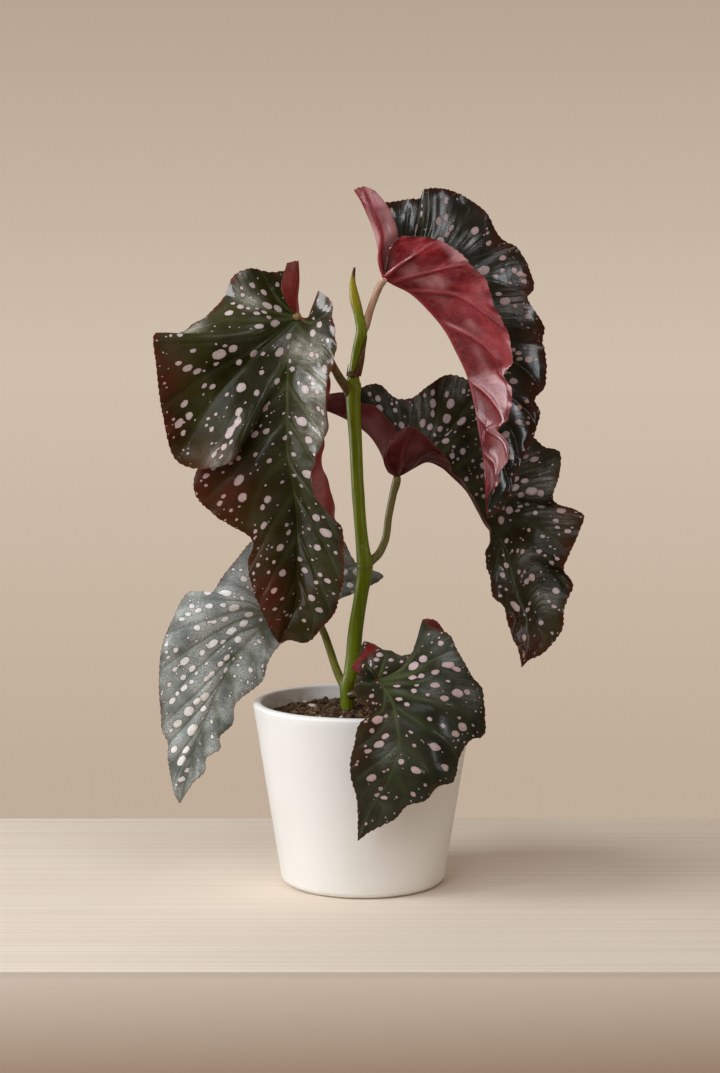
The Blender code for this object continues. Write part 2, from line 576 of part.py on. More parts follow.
# Leaves

def add_faces(work, grid, flip):
    """Faces between neighbouring columns of points, leaving out those with no width."""
    for one, two in zip(grid[:-1], grid[1:]):
        for row in range(len(one) - 1):
            corners = [one[row], two[row], two[row + 1], one[row + 1]]
            corners = [v for i, v in enumerate(corners) if v is not corners[i - 1]]
            if len(corners) > 2:
                work.faces.new(corners[::-1] if flip else corners)


def shell(name, work, thickness, collection, material):
    """Finish an open surface: triangles alike on both faces, and a thickness."""
    bmesh.ops.triangulate(work, faces=work.faces, quad_method="SHORT_EDGE")
    mesh = bpy.data.meshes.new(name)
    work.to_mesh(mesh)
    work.free()
    mesh.shade_smooth()
    item = new_object(name, mesh, collection, material)
    solid = item.modifiers.new("Thickness", "SOLIDIFY")
    solid.thickness = thickness * MM
    solid.offset = 0.0
    solid.use_even_offset = False
    return item


def rib_rows(root, points):
    """Points of one rib, evenly spaced from its root to the edge."""
    return smooth_line(np.vstack([root, points]), LEAF_ROWS + 1)


def half_columns(leaf, side, body):
    """Columns of one half of a leaf: a fan about the joint, then one at each body station."""
    midrib = np.array(leaf["midrib"], float)
    share = along(midrib)
    leaves_at = np.array([start for start, _ in leaf[side]] + [1.0])
    roots = smooth_curve(share, midrib, leaves_at)
    ribs = [rib_rows(root, points) for root, (_, points) in zip(roots, leaf[side])]
    ribs = np.array(ribs + [np.repeat(midrib[-1:], LEAF_ROWS + 1, axis=0)])
    middle = LEAF_ROWS // 2
    steps = (np.linalg.norm(np.diff(ribs[:, -1], axis=0), axis=1)
             + np.linalg.norm(np.diff(ribs[:, middle], axis=0), axis=1))
    places = np.concatenate([[0.0], np.cumsum(steps + 0.3)])
    fan_end = int(np.sum(leaves_at == 0)) - 1
    at = list(places[:fan_end + 1])
    for one in range(fan_end):
        if np.linalg.norm(ribs[one + 1, -1] - ribs[one, -1]) > WIDE_STEP:
            at.append((places[one] + places[one + 1]) / 2)
    at = sorted(at)
    fan = len(at)
    at += list(np.interp(body, leaves_at[fan_end:], places[fan_end:]))
    columns = smooth_curve(places, ribs, at)
    starts = np.repeat(midrib[:1], len(at), axis=0)
    starts[fan:] = smooth_curve(share, midrib, body)
    fade = 1 - np.linspace(0, 1, LEAF_ROWS + 1)
    columns += fade[None, :, None] * (starts - columns[:, 0])[:, None, :]
    return columns, fan


def toothed(columns):
    """Move every other edge point out and the rest in, less and less towards the ends."""
    last = len(columns) - 1
    for index in range(1, last):
        outward = columns[index, -1] - columns[index, -2]
        reach = TOOTH * min(1.0, 4 * index / last, 4 * (last - index) / last)
        outward *= reach * (-1) ** index / max(np.linalg.norm(outward), 0.1)
        columns[index, -1] += outward
    return columns


def make_leaf(name, leaf, collection, material):
    stations = {start for side in ("left", "right") for start, _ in leaf[side] if start > 0}
    body = np.array(sorted(stations) + [1.0])
    joint = np.array(leaf["joint"], float)
    midrib = np.array(leaf["midrib"], float)
    work = bmesh.new()
    root = work.verts.new(joint * MM)
    spine = [work.verts.new((joint + point) * MM)
             for point in smooth_curve(along(midrib), midrib, body)]
    for side in ("left", "right"):
        columns, fan = half_columns(leaf, side, body)
        grid = []
        for index, column in enumerate(toothed(columns)):
            start = root if index < fan else spine[index - fan]
            if index == len(columns) - 1:
                grid.append([start] * len(column))
            else:
                grid.append([start] + [work.verts.new((joint + p) * MM) for p in column[1:]])
        add_faces(work, grid, flip=side == "left")
    return shell(name, work, BLADE, collection, material)


def build():
    clear_scene()
    plant = new_collection(OBJECT_NAME)
    cutters = new_collection("cutters")
    make_pot(plant)
    make_soil(plant, cutters)
    make_stem(plant)
    make_stalks(plant, cutters)
    make_sheath(plant)
    for name, leaf in LEAVES.items():
        make_leaf(name, leaf, plant, new_material(name + "_green", leaf["colour"], 0.35))


build()
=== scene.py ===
"""A potted begonia: one cane in a white tapered pot, with five toothed wing-shaped leaves.

Sizes here are in millimetres until a mesh is made, and meshes are in metres. The origin is
the centre of the pot's flat base, X runs to the right, Y away from the front and Z up.
"""

import math

import bmesh
import bpy
import numpy as np
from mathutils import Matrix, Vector, noise


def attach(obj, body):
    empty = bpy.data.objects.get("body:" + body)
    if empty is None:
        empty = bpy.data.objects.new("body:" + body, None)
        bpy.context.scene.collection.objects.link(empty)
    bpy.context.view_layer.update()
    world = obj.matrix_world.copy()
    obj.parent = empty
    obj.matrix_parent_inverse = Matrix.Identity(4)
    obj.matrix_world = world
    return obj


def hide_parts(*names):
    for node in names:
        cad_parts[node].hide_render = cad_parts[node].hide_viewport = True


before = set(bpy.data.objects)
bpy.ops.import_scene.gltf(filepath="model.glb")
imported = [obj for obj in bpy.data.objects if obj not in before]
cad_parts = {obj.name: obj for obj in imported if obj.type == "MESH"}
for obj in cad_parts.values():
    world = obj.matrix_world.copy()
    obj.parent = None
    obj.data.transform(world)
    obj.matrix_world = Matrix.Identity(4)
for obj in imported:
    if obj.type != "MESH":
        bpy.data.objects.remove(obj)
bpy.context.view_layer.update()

MM = 0.001

# Pot and soil, as in the solids.
POT_HEIGHT = 108.0
RIM_RADIUS = 65.0
WALL_BASE_RADIUS = 48.0
FOOT_ROUNDING = 4.5
WALL = 5.0
FLOOR = 7.0
LIP_ROUNDING = 2.0
SOIL_TOP = 99.0

# Leaves: spacing of the fine mesh, thickness, relief and marks.
STEP = 1.08
LEAF_ROWS = 62
CAD_ROWS = 5
BLADE = 0.62
BLADE_AT_EDGE = 0.34
TOOTH = 0.75
TOOTH_EVERY = 3.7

# Cane, upper shoot and growing tip: x, y, z and radius up the middle line.
STEM_LINE = [
    (-9.5, 0, 73, 4.3), (-9.4, 0, 96, 4.3), (-9.1, 0, 108, 4.3), (-8.8, 0, 117, 4.7),
    (-7.0, 0, 122, 5.0), (-6.0, 0, 130, 4.6), (-4.7, 0, 147, 4.4), (-1.1, 0, 171, 4.1),
    (0.8, 0, 184, 4.6), (1.0, 0, 189, 4.8), (0.0, 0, 197, 4.1), (-2.9, 0, 231, 3.7),
    (-4.4, 0, 262, 3.8), (-5.8, 0, 288, 4.4), (-5.8, 0, 294, 4.6), (-5.6, 0, 298, 3.5),
    (-3.5, 0, 314, 2.9), (-0.8, 0, 326, 3.3), (-2.6, 0, 335, 2.7), (-5.0, 0, 345, 1.9),
    (-6.0, 0, 354, 1.1), (-4.9, 0, 362, 0.4),
]
NODE_HEIGHTS = (120.5, 187.0, 294.5)
BUD_FROM = 333.0
SHEATH_BASE = 299.0
SHEATH_HEIGHT = 21.0

STALKS = {
    "upper_left": {
        "colours": ((0.085, 0.060, 0.018), (0.20, 0.13, 0.045)),
        "line": [
            (-7.5, -0.5, 289, 2.9), (-9.3, -2, 292, 2.8), (-12.8, -6, 297, 2.6),
            (-16.7, -12, 304, 2.3), (-21.3, -17, 313, 2.2), (-28, -21, 323, 2.2),
            (-36.1, -23.1, 332.0, 1.9)]},
    "upper_right": {
        "colours": ((0.34, 0.17, 0.105), (0.50, 0.33, 0.22)),
        "line": [
            (-1.0, 1, 323, 2.3), (1.4, 1, 328, 2.4), (4.1, 1, 337, 2.2), (7.0, 0, 345, 2.1),
            (9.9, -2, 351.5, 2.1), (12.0, -2.7, 355.1, 1.8)]},
    "mid_right": {
        "colours": ((0.085, 0.070, 0.016), (0.185, 0.150, 0.048)),
        "line": [
            (1.5, 2, 187, 2.8), (4.4, 4, 190, 2.7), (9.2, 7, 194, 2.4), (12.6, 9, 200.5, 2.3),
            (15.4, 10, 217, 2.2), (17.8, 10, 229, 2.2), (20.0, 10, 239.0, 1.9)]},
    "lower_left": {
        "colours": ((0.090, 0.084, 0.007), (0.170, 0.152, 0.022)),
        "line": [
            (-9.0, 1, 113, 2.8), (-12.0, 3, 117.5, 2.6), (-16.0, 6, 126, 2.4),
            (-19.6, 9, 136.5, 2.3), (-23.5, 12, 147, 2.2), (-30.5, 14.5, 158, 2.2),
            (-41, 13.5, 163, 2.2), (-48.5, 9.5, 162, 2.0), (-52.8, 2.9, 160.1, 1.7)]},
    "lower_right": {
        "colours": ((0.030, 0.022, 0.010), (0.070, 0.048, 0.020)),
        "line": [
            (-8.5, -1, 111, 2.8), (-5.0, -5, 112.5, 2.6), (-0.6, -14, 114, 2.4),
            (4.4, -30, 119, 2.3), (7.9, -47.6, 126.3, 1.9)]},
}

# Veins of each half of a leaf: where a vein leaves the midrib, 0 being the joint and 1 the
# tip, and where it ends along the edge, from the first rib at the joint to the tip.
VEINS = {
    "leaf_upper_left": {
        "left": [(0, .03), (0, .09), (0, .155), (0, .22), (0, .29), (0, .355), (0, .415), (.12, .50),
                 (.2, .58), (.3, .665), (.41, .745), (.52, .82), (.64, .89), (.77, .95)],
        "right": [(0, .05), (.02, .14), (.1, .27), (.2, .42), (.3, .55), (.41, .67), (.52, .77),
                  (.64, .87), (.77, .94)]},
    "leaf_upper_right": {
        "left": [(0, .035), (0, .10), (0, .165), (0, .23), (0, .30), (.05, .39), (.14, .50),
                 (.25, .61), (.36, .71), (.48, .8), (.6, .88), (.74, .945)],
        "right": [(0, .10), (.03, .20), (.08, .40), (.25, .56), (.49, .72), (.62, .82), (.76, .92)]},
    "leaf_mid_right": {
        "left": [(0, .05), (0, .11), (.06, .21), (.12, .32), (.24, .46), (.38, .59), (.53, .73),
                 (.68, .84), (.82, .93)],
        "right": [(0, .05), (0, .10), (0, .155), (0, .205), (0, .25), (.06, .32), (.13, .39),
                  (.21, .455), (.3, .53), (.39, .62), (.49, .73), (.6, .82), (.72, .9),
                  (.85, .96)]},
    "leaf_lower_left": {
        "left": [(0, .08), (0, .17), (0, .27), (0, .365), (0, .455), (.07, .565), (.22, .64),
                 (.4, .73), (.57, .83), (.74, .92)],
        "right": [(0, .06), (0, .14), (0, .22), (0, .31), (.08, .42), (.22, .53), (.36, .64),
                  (.5, .74), (.64, .84), (.78, .93)]},
    "leaf_lower_right": {
        "left": [(0, .06), (0, .15), (.1, .36), (.25, .52), (.42, .68), (.58, .8), (.75, .9)],
        "right": [(0, .05), (0, .12), (0, .19), (0, .26), (0, .33), (0, .40), (.04, .47),
                  (.11, .57), (.24, .68), (.41, .78), (.58, .87), (.75, .94)]},
}

# Looks of each leaf: the side of the drawn surface that is its upper side, dark and lighter
# green, how silvery it is, and places as x, y, z and size: the pale ones get a painted silvery
# sheen, and the red ones turn red-brown, partly the leaf's own tint and partly painted glow of
# light shining through.
LEAF_LOOKS = {
    "leaf_upper_left": {
        "upper": 1, "dark": (0.0100, 0.0075, 0.0010), "light": (0.0300, 0.0290, 0.0045), "silver": 0.06,
        "spot": (0.56, 0.46, 0.435), "gloss": 0.36, "rough": 0.4, "quilt": 0.45, "under": ((0.110, 0.0070, 0.0055), (0.215, 0.026, 0.017), (0.30, 0.055, 0.036)),
        "shine": (0.46, 0.43, 0.355), "satin": 0.2, "even": 0.55, "russet": (0.080, 0.0105, 0.0035), "painted_pink_sheen": 0.2, "edge": 1.0, "seed": 3,
        "pale": [(-72, -27, 357, 7), (-68, -29, 349, 6), (-63, -32, 343, 6), (-97, -33, 327, 8),
                 (-38, -36, 316, 8), (-29, -46, 313, 11), (-26, -53, 294, 12), (-27, -53, 276, 12),
                 (-27, -64, 258, 8), (-80, -53, 254, 8)],
        "red": [(-88, -42, 232, 24), (-78, -42, 196, 22), (-60, -38, 170, 20), (-52, -30, 152, 14),
                (-118, -46, 300, 16), (-116, -44, 270, 12)]},
    "leaf_upper_right": {
        "upper": -1, "dark": (0.0060, 0.0040, 0.0006), "light": (0.022, 0.0180, 0.0050), "silver": 0.05,
        "spot": (0.50, 0.38, 0.365), "gloss": 0.65, "rough": 0.4, "quilt": 0.9, "under": ((0.085, 0.0018, 0.0026), (0.215, 0.0090, 0.0120), (0.33, 0.036, 0.042)),
        "shine": (0.55, 0.57, 0.56), "satin": 0.45, "even": 0.1, "russet": (0.060, 0.0105, 0.0030), "painted_pink_sheen": 0.85, "edge": 1.0, "seed": 5,
        "pale": [(29, 12, 395, 6), (42, 11, 397, 7), (49, 15, 386, 6), (63, 16, 378, 5),
                 (90, 15, 340, 9), (101, 13, 314, 5)],
        "red": [(100, 20, 352, 14), (108, 20, 318, 14), (105, 15, 282, 16), (84, 24, 380, 10)]},
    "leaf_mid_right": {
        "upper": 1, "dark": (0.010, 0.0070, 0.0015), "light": (0.034, 0.0290, 0.0100), "silver": 0.12,
        # This leaf's underside colours are set darker than the others' as painted shade on its curled hood.
        "spot": (0.55, 0.44, 0.43), "gloss": 0.28, "rough": 0.4, "quilt": 0.65, "under": ((0.034, 0.0014, 0.0012), (0.075, 0.0065, 0.0045), (0.11, 0.019, 0.015)),
        "shine": (0.27, 0.265, 0.235), "satin": 0.06, "even": 0.3, "density": 0.055, "russet": (0.070, 0.0120, 0.0040), "painted_pink_sheen": 0.1, "edge": 0.9, "seed": 8,
        "pale": [(9, 26, 287, 7), (20, 25, 283, 9), (33, 25, 280, 9), (55, 30, 293, 8),
                 (97, 36, 245, 10), (109, 33, 238, 10), (101, 31, 228, 9), (118, 30, 212, 8),
                 (100, 20, 188, 10), (108, 18, 166, 8)],
        "red": [(96, 5, 130, 17), (80, 5, 150, 12), (124, 28, 222, 10), (128, 22, 196, 9)]},
    "leaf_lower_left": {
        "upper": 1, "dark": (0.048, 0.056, 0.047), "light": (0.170, 0.185, 0.165), "silver": 0.9,
        "spot": (0.92, 0.90, 0.85), "gloss": 0.3, "rough": 0.42, "quilt": 0.75, "under": ((0.100, 0.010, 0.012), (0.210, 0.035, 0.040), (0.32, 0.09, 0.09)),
        "shine": (0.62, 0.64, 0.60), "satin": 0.2, "even": 0.6, "density": 0.044, "russet": (0.080, 0.030, 0.020), "painted_pink_sheen": 0.2, "line": 0.4, "edge": 0.45, "seed": 13, "pale": [(-74, -7, 170, 10), (-98, -13, 161, 9), (-84, -10, 142, 14), (-92, -16, 118, 14),
                 (-102, -20, 80, 9)],
        "red": []},
    "leaf_lower_right": {
        "upper": 1, "dark": (0.0110, 0.0115, 0.0045), "light": (0.030, 0.0305, 0.0150), "silver": 0.12,
        "spot": (0.56, 0.43, 0.42), "gloss": 0.3, "rough": 0.38, "quilt": 0.7, "under": ((0.070, 0.0040, 0.0035), (0.130, 0.014, 0.012), (0.19, 0.035, 0.030)),
        "shine": (0.16, 0.17, 0.145), "satin": 0.2, "even": 0.5, "density": 0.048, "russet": (0.048, 0.021, 0.008), "painted_pink_sheen": 0.1, "line": 0.12, "edge": 0.8, "seed": 21,
        "pale": [(44, -43, 150, 11), (53, -48, 138, 11), (61, -54, 122, 10), (40, -60, 126, 9),
                 (14, -80, 92, 8)],
        "fold": [(-3, -27, 136, 6), (2, -25, 139, 6), (5, -20, 142, 5), (-4, -29, 132, 5)],
        "red": [(0, -72, 110, 12), (-6, -80, 90, 10)]},
}

# Leaves, in millimetres from the leaf's joint on its stalk. The midrib runs from the joint
# to the tip. Each rib is where it leaves the midrib (0 is the joint, 1 the tip) and its
# points out to the edge, in order from the cleft at the stalk round to the tip.
LEAVES = {
    "leaf_upper_left": {
        "joint": (-37, -24, 333),
        "midrib": [(0, 0, 0), (-3, -5, -9), (-5, -9, -19), (-6, -13, -38), (-6, -15, -58),
                   (-6, -14, -78), (-3, -12, -94), (-1, -7, -115), (-1, -3, -139), (-2, 2, -163),
                   (-7, 5, -179), (-12, 8, -189)],
        "left": [
            (0, [(-4, -5, 5), (-9, -9, 16), (-6, -4, 31)]),
            (0, [(-1, 1, 11), (0, 2, 20), (0, 2, 32)]),
            (0, [(-4, 4, 10), (-5, 7, 19), (-5, 8, 28)]),
            (0, [(-10, 1, 10), (-14, 4, 17), (-17, 4, 26)]),
            (0, [(-14, -2, 9), (-21, 0, 17), (-26, 1, 28)]),
            (0, [(-17, -6, 7), (-28, -5, 14), (-35, -3, 25)]),
            (0, [(-18, -10, 3), (-33, -9, 7), (-45, 2, 8)]),
            (0, [(-20, -14, -1), (-40, -14, -1), (-63, -2, -6)]),
            (0, [(-21, -16, -5), (-46, -18, -7), (-71, -12, -11)]),
            (0, [(-23, -18, -9), (-52, -23, -11), (-80, -22, -9)]),
            (0, [(-25, -17, -13), (-52, -22, -20), (-79, -24, -29)]),
            (0, [(-26, -16, -19), (-52, -19, -35), (-76, -21, -55)]),
            (0, [(-26, -15, -23), (-47, -18, -45), (-69, -20, -80)]),
            (0.06, [(-26, -18, -35), (-41, -23, -62), (-56, -24, -85)]),
            (0.12, [(-18, -18, -44), (-28, -26, -63), (-34, -29, -78)]),
            (0.16, [(-18, -16, -48), (-26, -19, -63), (-33, -21, -72)]),
            (0.2, [(-19, -15, -52), (-31, -15, -66), (-46, -12, -77)]),
            (0.25, [(-21, -14, -61), (-40, -11, -75), (-58, -9, -87)]),
            (0.31, [(-22, -14, -72), (-40, -12, -87), (-59, -10, -100)]),
            (0.4, [(-20, -16, -84), (-33, -14, -99), (-47, -10, -113)]),
            (0.5, [(-15, -14, -105), (-26, -10, -128)]),
            (0.56, [(-14, -12, -119), (-29, -7, -139)]),
            (0.68, [(-13, -9, -143), (-26, -4, -157)]),
            (0.79, [(-11, -5, -162), (-21, -1, -170)]),
            (0.9, [(-9, 1, -175), (-16, 3, -182)]),
        ],
        "right": [
            (0, [(5, -7, -1), (8, -16, 5), (12, -23, 15)]),
            (0, [(8, -15, 0), (13, -24, 5), (19, -30, 9)]),
            (0, [(9, -16, -4), (15, -25, -1), (20, -33, 1)]),
            (0, [(10, -18, -8), (17, -28, -10), (22, -35, -15)]),
            (0.08, [(9, -21, -19), (20, -37, -26)]),
            (0.17, [(8, -25, -33), (19, -38, -38), (16, -42, -43)]),
            (0.22, [(7, -24, -43), (17, -39, -50), (17, -41, -53)]),
            (0.27, [(6, -23, -53), (17, -37, -61), (17, -39, -63)]),
            (0.33, [(5, -22, -64), (15, -36, -70), (12, -42, -74)]),
            (0.39, [(4, -21, -77), (14, -34, -82), (8, -42, -89)]),
            (0.46, [(4, -20, -89), (17, -32, -92), (10, -39, -99)]),
            (0.52, [(7, -18, -100), (21, -28, -106), (16, -32, -108)]),
            (0.58, [(11, -16, -113), (25, -22, -119)]),
            (0.65, [(14, -13, -129), (26, -17, -135)]),
            (0.73, [(14, -10, -144), (26, -13, -149)]),
            (0.8, [(11, -7, -157), (23, -8, -161)]),
            (0.86, [(8, -4, -165), (21, -4, -169)]),
            (0.9, [(6, 0, -173), (13, 0, -179)]),
            (0.95, [(-1, 4, -182), (4, 4, -188)]),
            (0.98, [(-8, 7, -185), (-7, 7, -187)]),
        ],
    },
    "leaf_upper_right": {
        "joint": (12, -3, 356),
        "midrib": [(0, 0, 0), (5, 2, -3), (15, 3, -8), (27, 4, -19), (36, 4, -30), (43, 4, -43),
                   (49, 3, -56), (53, 2, -71), (56, 1, -88), (59, 0, -106), (60, -1, -123),
                   (61, -2, -140)],
        "left": [
            (0, [(5, -1, 12), (8, -7, 24), (3, -9, 39), (-5, -6, 49)]),
            (0, [(-2, -5, 11), (1, -10, 24), (-4, -11, 38), (-11, -7, 52)]),
            (0, [(-2, -3, 9), (-5, -4, 23), (-11, -4, 38), (-17, -3, 50)]),
            (0, [(0, 3, 9), (0, 6, 22), (-4, 7, 35), (-7, 6, 44)]),
            (0, [(3, 6, 9), (5, 11, 22), (4, 13, 34), (2, 12, 44)]),
            (0, [(7, 8, 9), (12, 14, 23), (14, 16, 35), (15, 15, 46)]),
            (0, [(13, 9, 9), (18, 17, 22), (21, 19, 36), (22, 20, 47)]),
            (0, [(15, 9, 9), (22, 13, 25), (24, 13, 38), (23, 12, 51)]),
            (0, [(21, 10, 9), (32, 17, 27), (36, 17, 52)]),
            (0, [(26, 11, 7), (38, 19, 25), (49, 21, 47)]),
            (0, [(29, 11, 4), (45, 19, 19), (60, 23, 39)]),
            (0.1, [(35, 13, 2), (69, 25, 24)]),
            (0.18, [(44, 13, -1), (79, 25, 18)]),
            (0.27, [(54, 13, -8), (89, 26, -6)]),
            (0.31, [(57, 13, -16), (85, 21, -11)]),
            (0.37, [(61, 12, -27), (95, 23, -28)]),
            (0.43, [(65, 11, -38), (94, 19, -37)]),
            (0.5, [(70, 11, -49), (96, 20, -46)]),
            (0.58, [(73, 9, -61), (95, 17, -64)]),
            (0.63, [(73, 6, -69), (89, 11, -71)]),
            (0.69, [(74, 6, -78), (92, 13, -78)]),
            (0.77, [(73, 4, -90), (88, 9, -93)]),
            (0.84, [(71, 2, -101), (82, 5, -104)]),
            (0.9, [(70, 1, -113), (78, 4, -114)]),
            (0.95, [(68, 0, -123), (75, 2, -124)]),
            (0.98, [(65, -1, -132), (69, 0, -134)]),
        ],
        "right": [
            (0, [(2, -9, 9), (3, -13, 16), (5, -15, 19)]),
            (0, [(2, -8, 10), (6, -14, 17), (10, -17, 23)]),
            (0, [(5, -9, 10), (9, -15, 17), (18, -19, 23)]),
            (0, [(9, -10, 9), (17, -17, 15), (27, -21, 22)]),
            (0, [(14, -10, 7), (25, -19, 12), (37, -24, 18)]),
            (0.04, [(25, -13, 4), (45, -25, 12)]),
            (0.1, [(32, -15, 1), (50, -26, 6)]),
            (0.16, [(37, -15, -5), (58, -27, -2)]),
            (0.22, [(44, -15, -12), (62, -27, -15)]),
            (0.29, [(49, -15, -23), (67, -27, -24)]),
            (0.37, [(55, -15, -34), (72, -28, -37)]),
            (0.44, [(59, -14, -45), (73, -26, -49)]),
            (0.49, [(60, -11, -52), (69, -20, -55)]),
            (0.55, [(62, -12, -61), (73, -24, -64)]),
            (0.63, [(64, -12, -72), (73, -24, -73)]),
            (0.69, [(65, -11, -82), (71, -22, -81)]),
            (0.73, [(61, -8, -87), (66, -14, -88)]),
            (0.78, [(66, -10, -95), (72, -20, -95)]),
            (0.84, [(66, -9, -103), (71, -18, -105)]),
            (0.89, [(65, -8, -111), (67, -14, -113)]),
            (0.93, [(64, -6, -118), (66, -10, -120)]),
            (0.965, [(61, -4, -128), (61, -6, -125)]),
        ],
    },
    "leaf_mid_right": {
        "joint": (20, 10, 240),
        "midrib": [(0, 0, 0), (4, -1, 2), (9, -2, 5), (18, -2, 9), (26, -1, 6), (34, 1, -1),
                   (41, 2, -8), (48, 2, -20), (53, 2, -29), (58, 2, -35), (64, 1, -43),
                   (68, 0, -59), (73, -1, -73), (77, -2, -86), (77, -4, -100), (74, -7, -113)],
        "left": [
            (0, [(-5, -1, 2), (-7, -3, 8), (-8, -5, 14), (-7, -8, 19)]),
            (0, [(-5, -6, 3), (-8, -9, 9), (-7, -11, 16), (-4, -13, 22)]),
            (0, [(-2, -9, 7), (-2, -14, 16), (3, -17, 29)]),
            (0, [(2, -10, 8), (4, -16, 19), (9, -20, 30)]),
            (0, [(6, -10, 10), (10, -16, 20), (15, -20, 26)]),
            (0.06, [(11, -11, 11), (16, -16, 17), (21, -19, 20)]),
            (0.13, [(18, -11, 13), (26, -17, 15)]),
            (0.19, [(25, -10, 10), (30, -14, 10)]),
            (0.24, [(30, -6, 5), (32, -11, 4)]),
            (0.28, [(35, -4, 0), (35, -9, 0)]),
            (0.33, [(39, -5, -4), (40, -13, -4)]),
            (0.38, [(43, -6, -11), (44, -16, -12)]),
            (0.43, [(47, -6, -16), (48, -17, -19)]),
            (0.48, [(51, -6, -24), (52, -17, -26)]),
            (0.53, [(55, -6, -31), (55, -15, -33)]),
            (0.57, [(56, -5, -36), (54, -12, -40)]),
            (0.62, [(57, -3, -42), (52, -9, -45)]),
            (0.68, [(59, -2, -51), (53, -7, -53)]),
            (0.75, [(62, -2, -61), (55, -6, -60)]),
            (0.81, [(64, -2, -70), (57, -6, -71)]),
            (0.86, [(68, -3, -78), (63, -6, -77)]),
            (0.9, [(71, -4, -87), (66, -6, -88)]),
            (0.94, [(72, -5, -95), (68, -7, -94)]),
            (0.97, [(74, -6, -103), (72, -7, -103)]),
        ],
        "right": [
            (0, [(-2, 1, 12), (0, -1, 25), (-5, 0, 33), (-13, 2, 41), (-21, 4, 43), (-31, 6, 49),
                 (-41, 7, 48)]),
            (0, [(-4, 3, 8), (-7, 3, 21), (-18, 4, 33), (-31, 6, 42), (-44, 8, 43)]),
            (0, [(-5, 5, 4), (-8, 7, 12), (-15, 8, 23), (-29, 9, 33), (-43, 10, 39)]),
            (0, [(-3, 9, 7), (-7, 14, 19), (-17, 14, 32), (-30, 14, 40), (-41, 14, 43)]),
            (0, [(0, 10, 10), (-4, 16, 25), (-12, 17, 38), (-18, 17, 44), (-25, 16, 50)]),
            (0, [(3, 10, 12), (0, 16, 28), (-7, 17, 44), (-12, 16, 54)]),
            (0, [(6, 9, 12), (4, 16, 26), (1, 15, 45)]),
            (0, [(9, 8, 13), (11, 16, 28), (10, 15, 46)]),
            (0, [(11, 8, 13), (18, 17, 29), (18, 18, 52)]),
            (0, [(15, 8, 12), (25, 19, 32), (30, 21, 59)]),
            (0.08, [(31, 20, 26), (45, 21, 55)]),
            (0.16, [(41, 22, 29), (60, 20, 44)]),
            (0.22, [(48, 22, 20), (71, 20, 34)]),
            (0.27, [(56, 22, 12), (82, 20, 22)]),
            (0.31, [(60, 23, 7), (89, 23, 16)]),
            (0.35, [(65, 24, 0), (98, 25, 13)]),
            (0.4, [(68, 23, -8), (98, 23, -1)]),
            (0.45, [(71, 22, -14), (94, 19, -13)]),
            (0.475, [(72, 26, -17), (96, 26, -18)]),
            (0.5, [(75, 26, -21), (104, 26, -21)]),
            (0.54, [(77, 22, -24), (112, 21, -24)]),
            (0.6, [(81, 18, -36), (110, 18, -34)]),
            (0.64, [(83, 15, -44), (105, 14, -45)]),
            (0.67, [(84, 14, -49), (100, 11, -56)]),
            (0.69, [(83, 17, -53), (102, 17, -60)]),
            (0.72, [(86, 15, -59), (106, 14, -66)]),
            (0.77, [(87, 11, -68), (103, 9, -73)]),
            (0.82, [(88, 8, -76), (100, 6, -80)]),
            (0.88, [(88, 4, -86), (99, 3, -91)]),
            (0.92, [(87, 2, -95), (92, 1, -101)]),
            (0.95, [(84, 0, -102), (85, -1, -107)]),
            (0.975, [(79, -2, -105), (79, -3, -109)]),
        ],
    },
    "leaf_lower_left": {
        "joint": (-54, 0, 159),
        "midrib": [(0, 0, 0), (-7, -4, -8), (-20, -9, -23), (-30, -12, -40), (-38, -15, -59),
                   (-44, -18, -76), (-49, -21, -94), (-53, -24, -108)],
        "left": [
            (0, [(2, 3, 14), (0, 5, 32), (-3, 5, 45)]),
            (0, [(-2, 2, 15), (-7, 2, 32), (-10, 3, 44)]),
            (0, [(-5, 0, 14), (-12, -2, 27), (-21, -2, 32)]),
            (0, [(-9, -2, 13), (-18, -5, 21), (-29, -5, 22)]),
            (0, [(-11, -3, 10), (-23, -6, 14), (-35, -4, 13)]),
            (0, [(-12, -5, 8), (-27, -9, 11), (-48, -8, 14)]),
            (0, [(-13, -6, 6), (-32, -12, 4), (-57, -12, -1)]),
            (0, [(-14, -6, 2), (-36, -13, -5), (-63, -15, -16)]),
            (0, [(-14, -6, -3), (-37, -12, -16), (-65, -17, -39)]),
            (0.1, [(-18, -8, -12), (-39, -14, -30), (-64, -18, -56)]),
            (0.26, [(-38, -15, -43), (-63, -18, -67)]),
            (0.38, [(-41, -15, -52), (-60, -18, -73)]),
            (0.5, [(-44, -17, -63), (-60, -20, -81)]),
            (0.66, [(-48, -19, -77), (-58, -22, -93)]),
            (0.85, [(-52, -22, -92), (-56, -24, -102)]),
        ],
        "right": [
            (0, [(11, 5, 14), (23, 9, 25), (34, 11, 36), (43, 13, 42)]),
            (0, [(17, 7, 14), (36, 12, 26), (50, 15, 29)]),
            (0, [(20, 8, 12), (43, 14, 21), (66, 17, 21)]),
            (0, [(20, 7, 8), (36, 12, 11), (49, 14, 11)]),
            (0, [(17, 5, 2), (27, 8, 5), (39, 11, 7)]),
            (0, [(12, 3, -4), (20, 4, -4), (27, 5, -2)]),
            (0, [(6, 1, -7), (11, 0, -10), (16, 1, -12)]),
            (0.05, [(-1, -2, -10), (5, -3, -18)]),
            (0.12, [(-5, -5, -16), (-1, -6, -26)]),
            (0.22, [(-12, -8, -21), (-5, -9, -38)]),
            (0.33, [(-16, -10, -34), (-12, -11, -44)]),
            (0.42, [(-24, -12, -45), (-21, -13, -52)]),
            (0.5, [(-27, -14, -55), (-22, -16, -62)]),
            (0.57, [(-33, -16, -65), (-30, -17, -71)]),
            (0.63, [(-35, -17, -71), (-29, -19, -76)]),
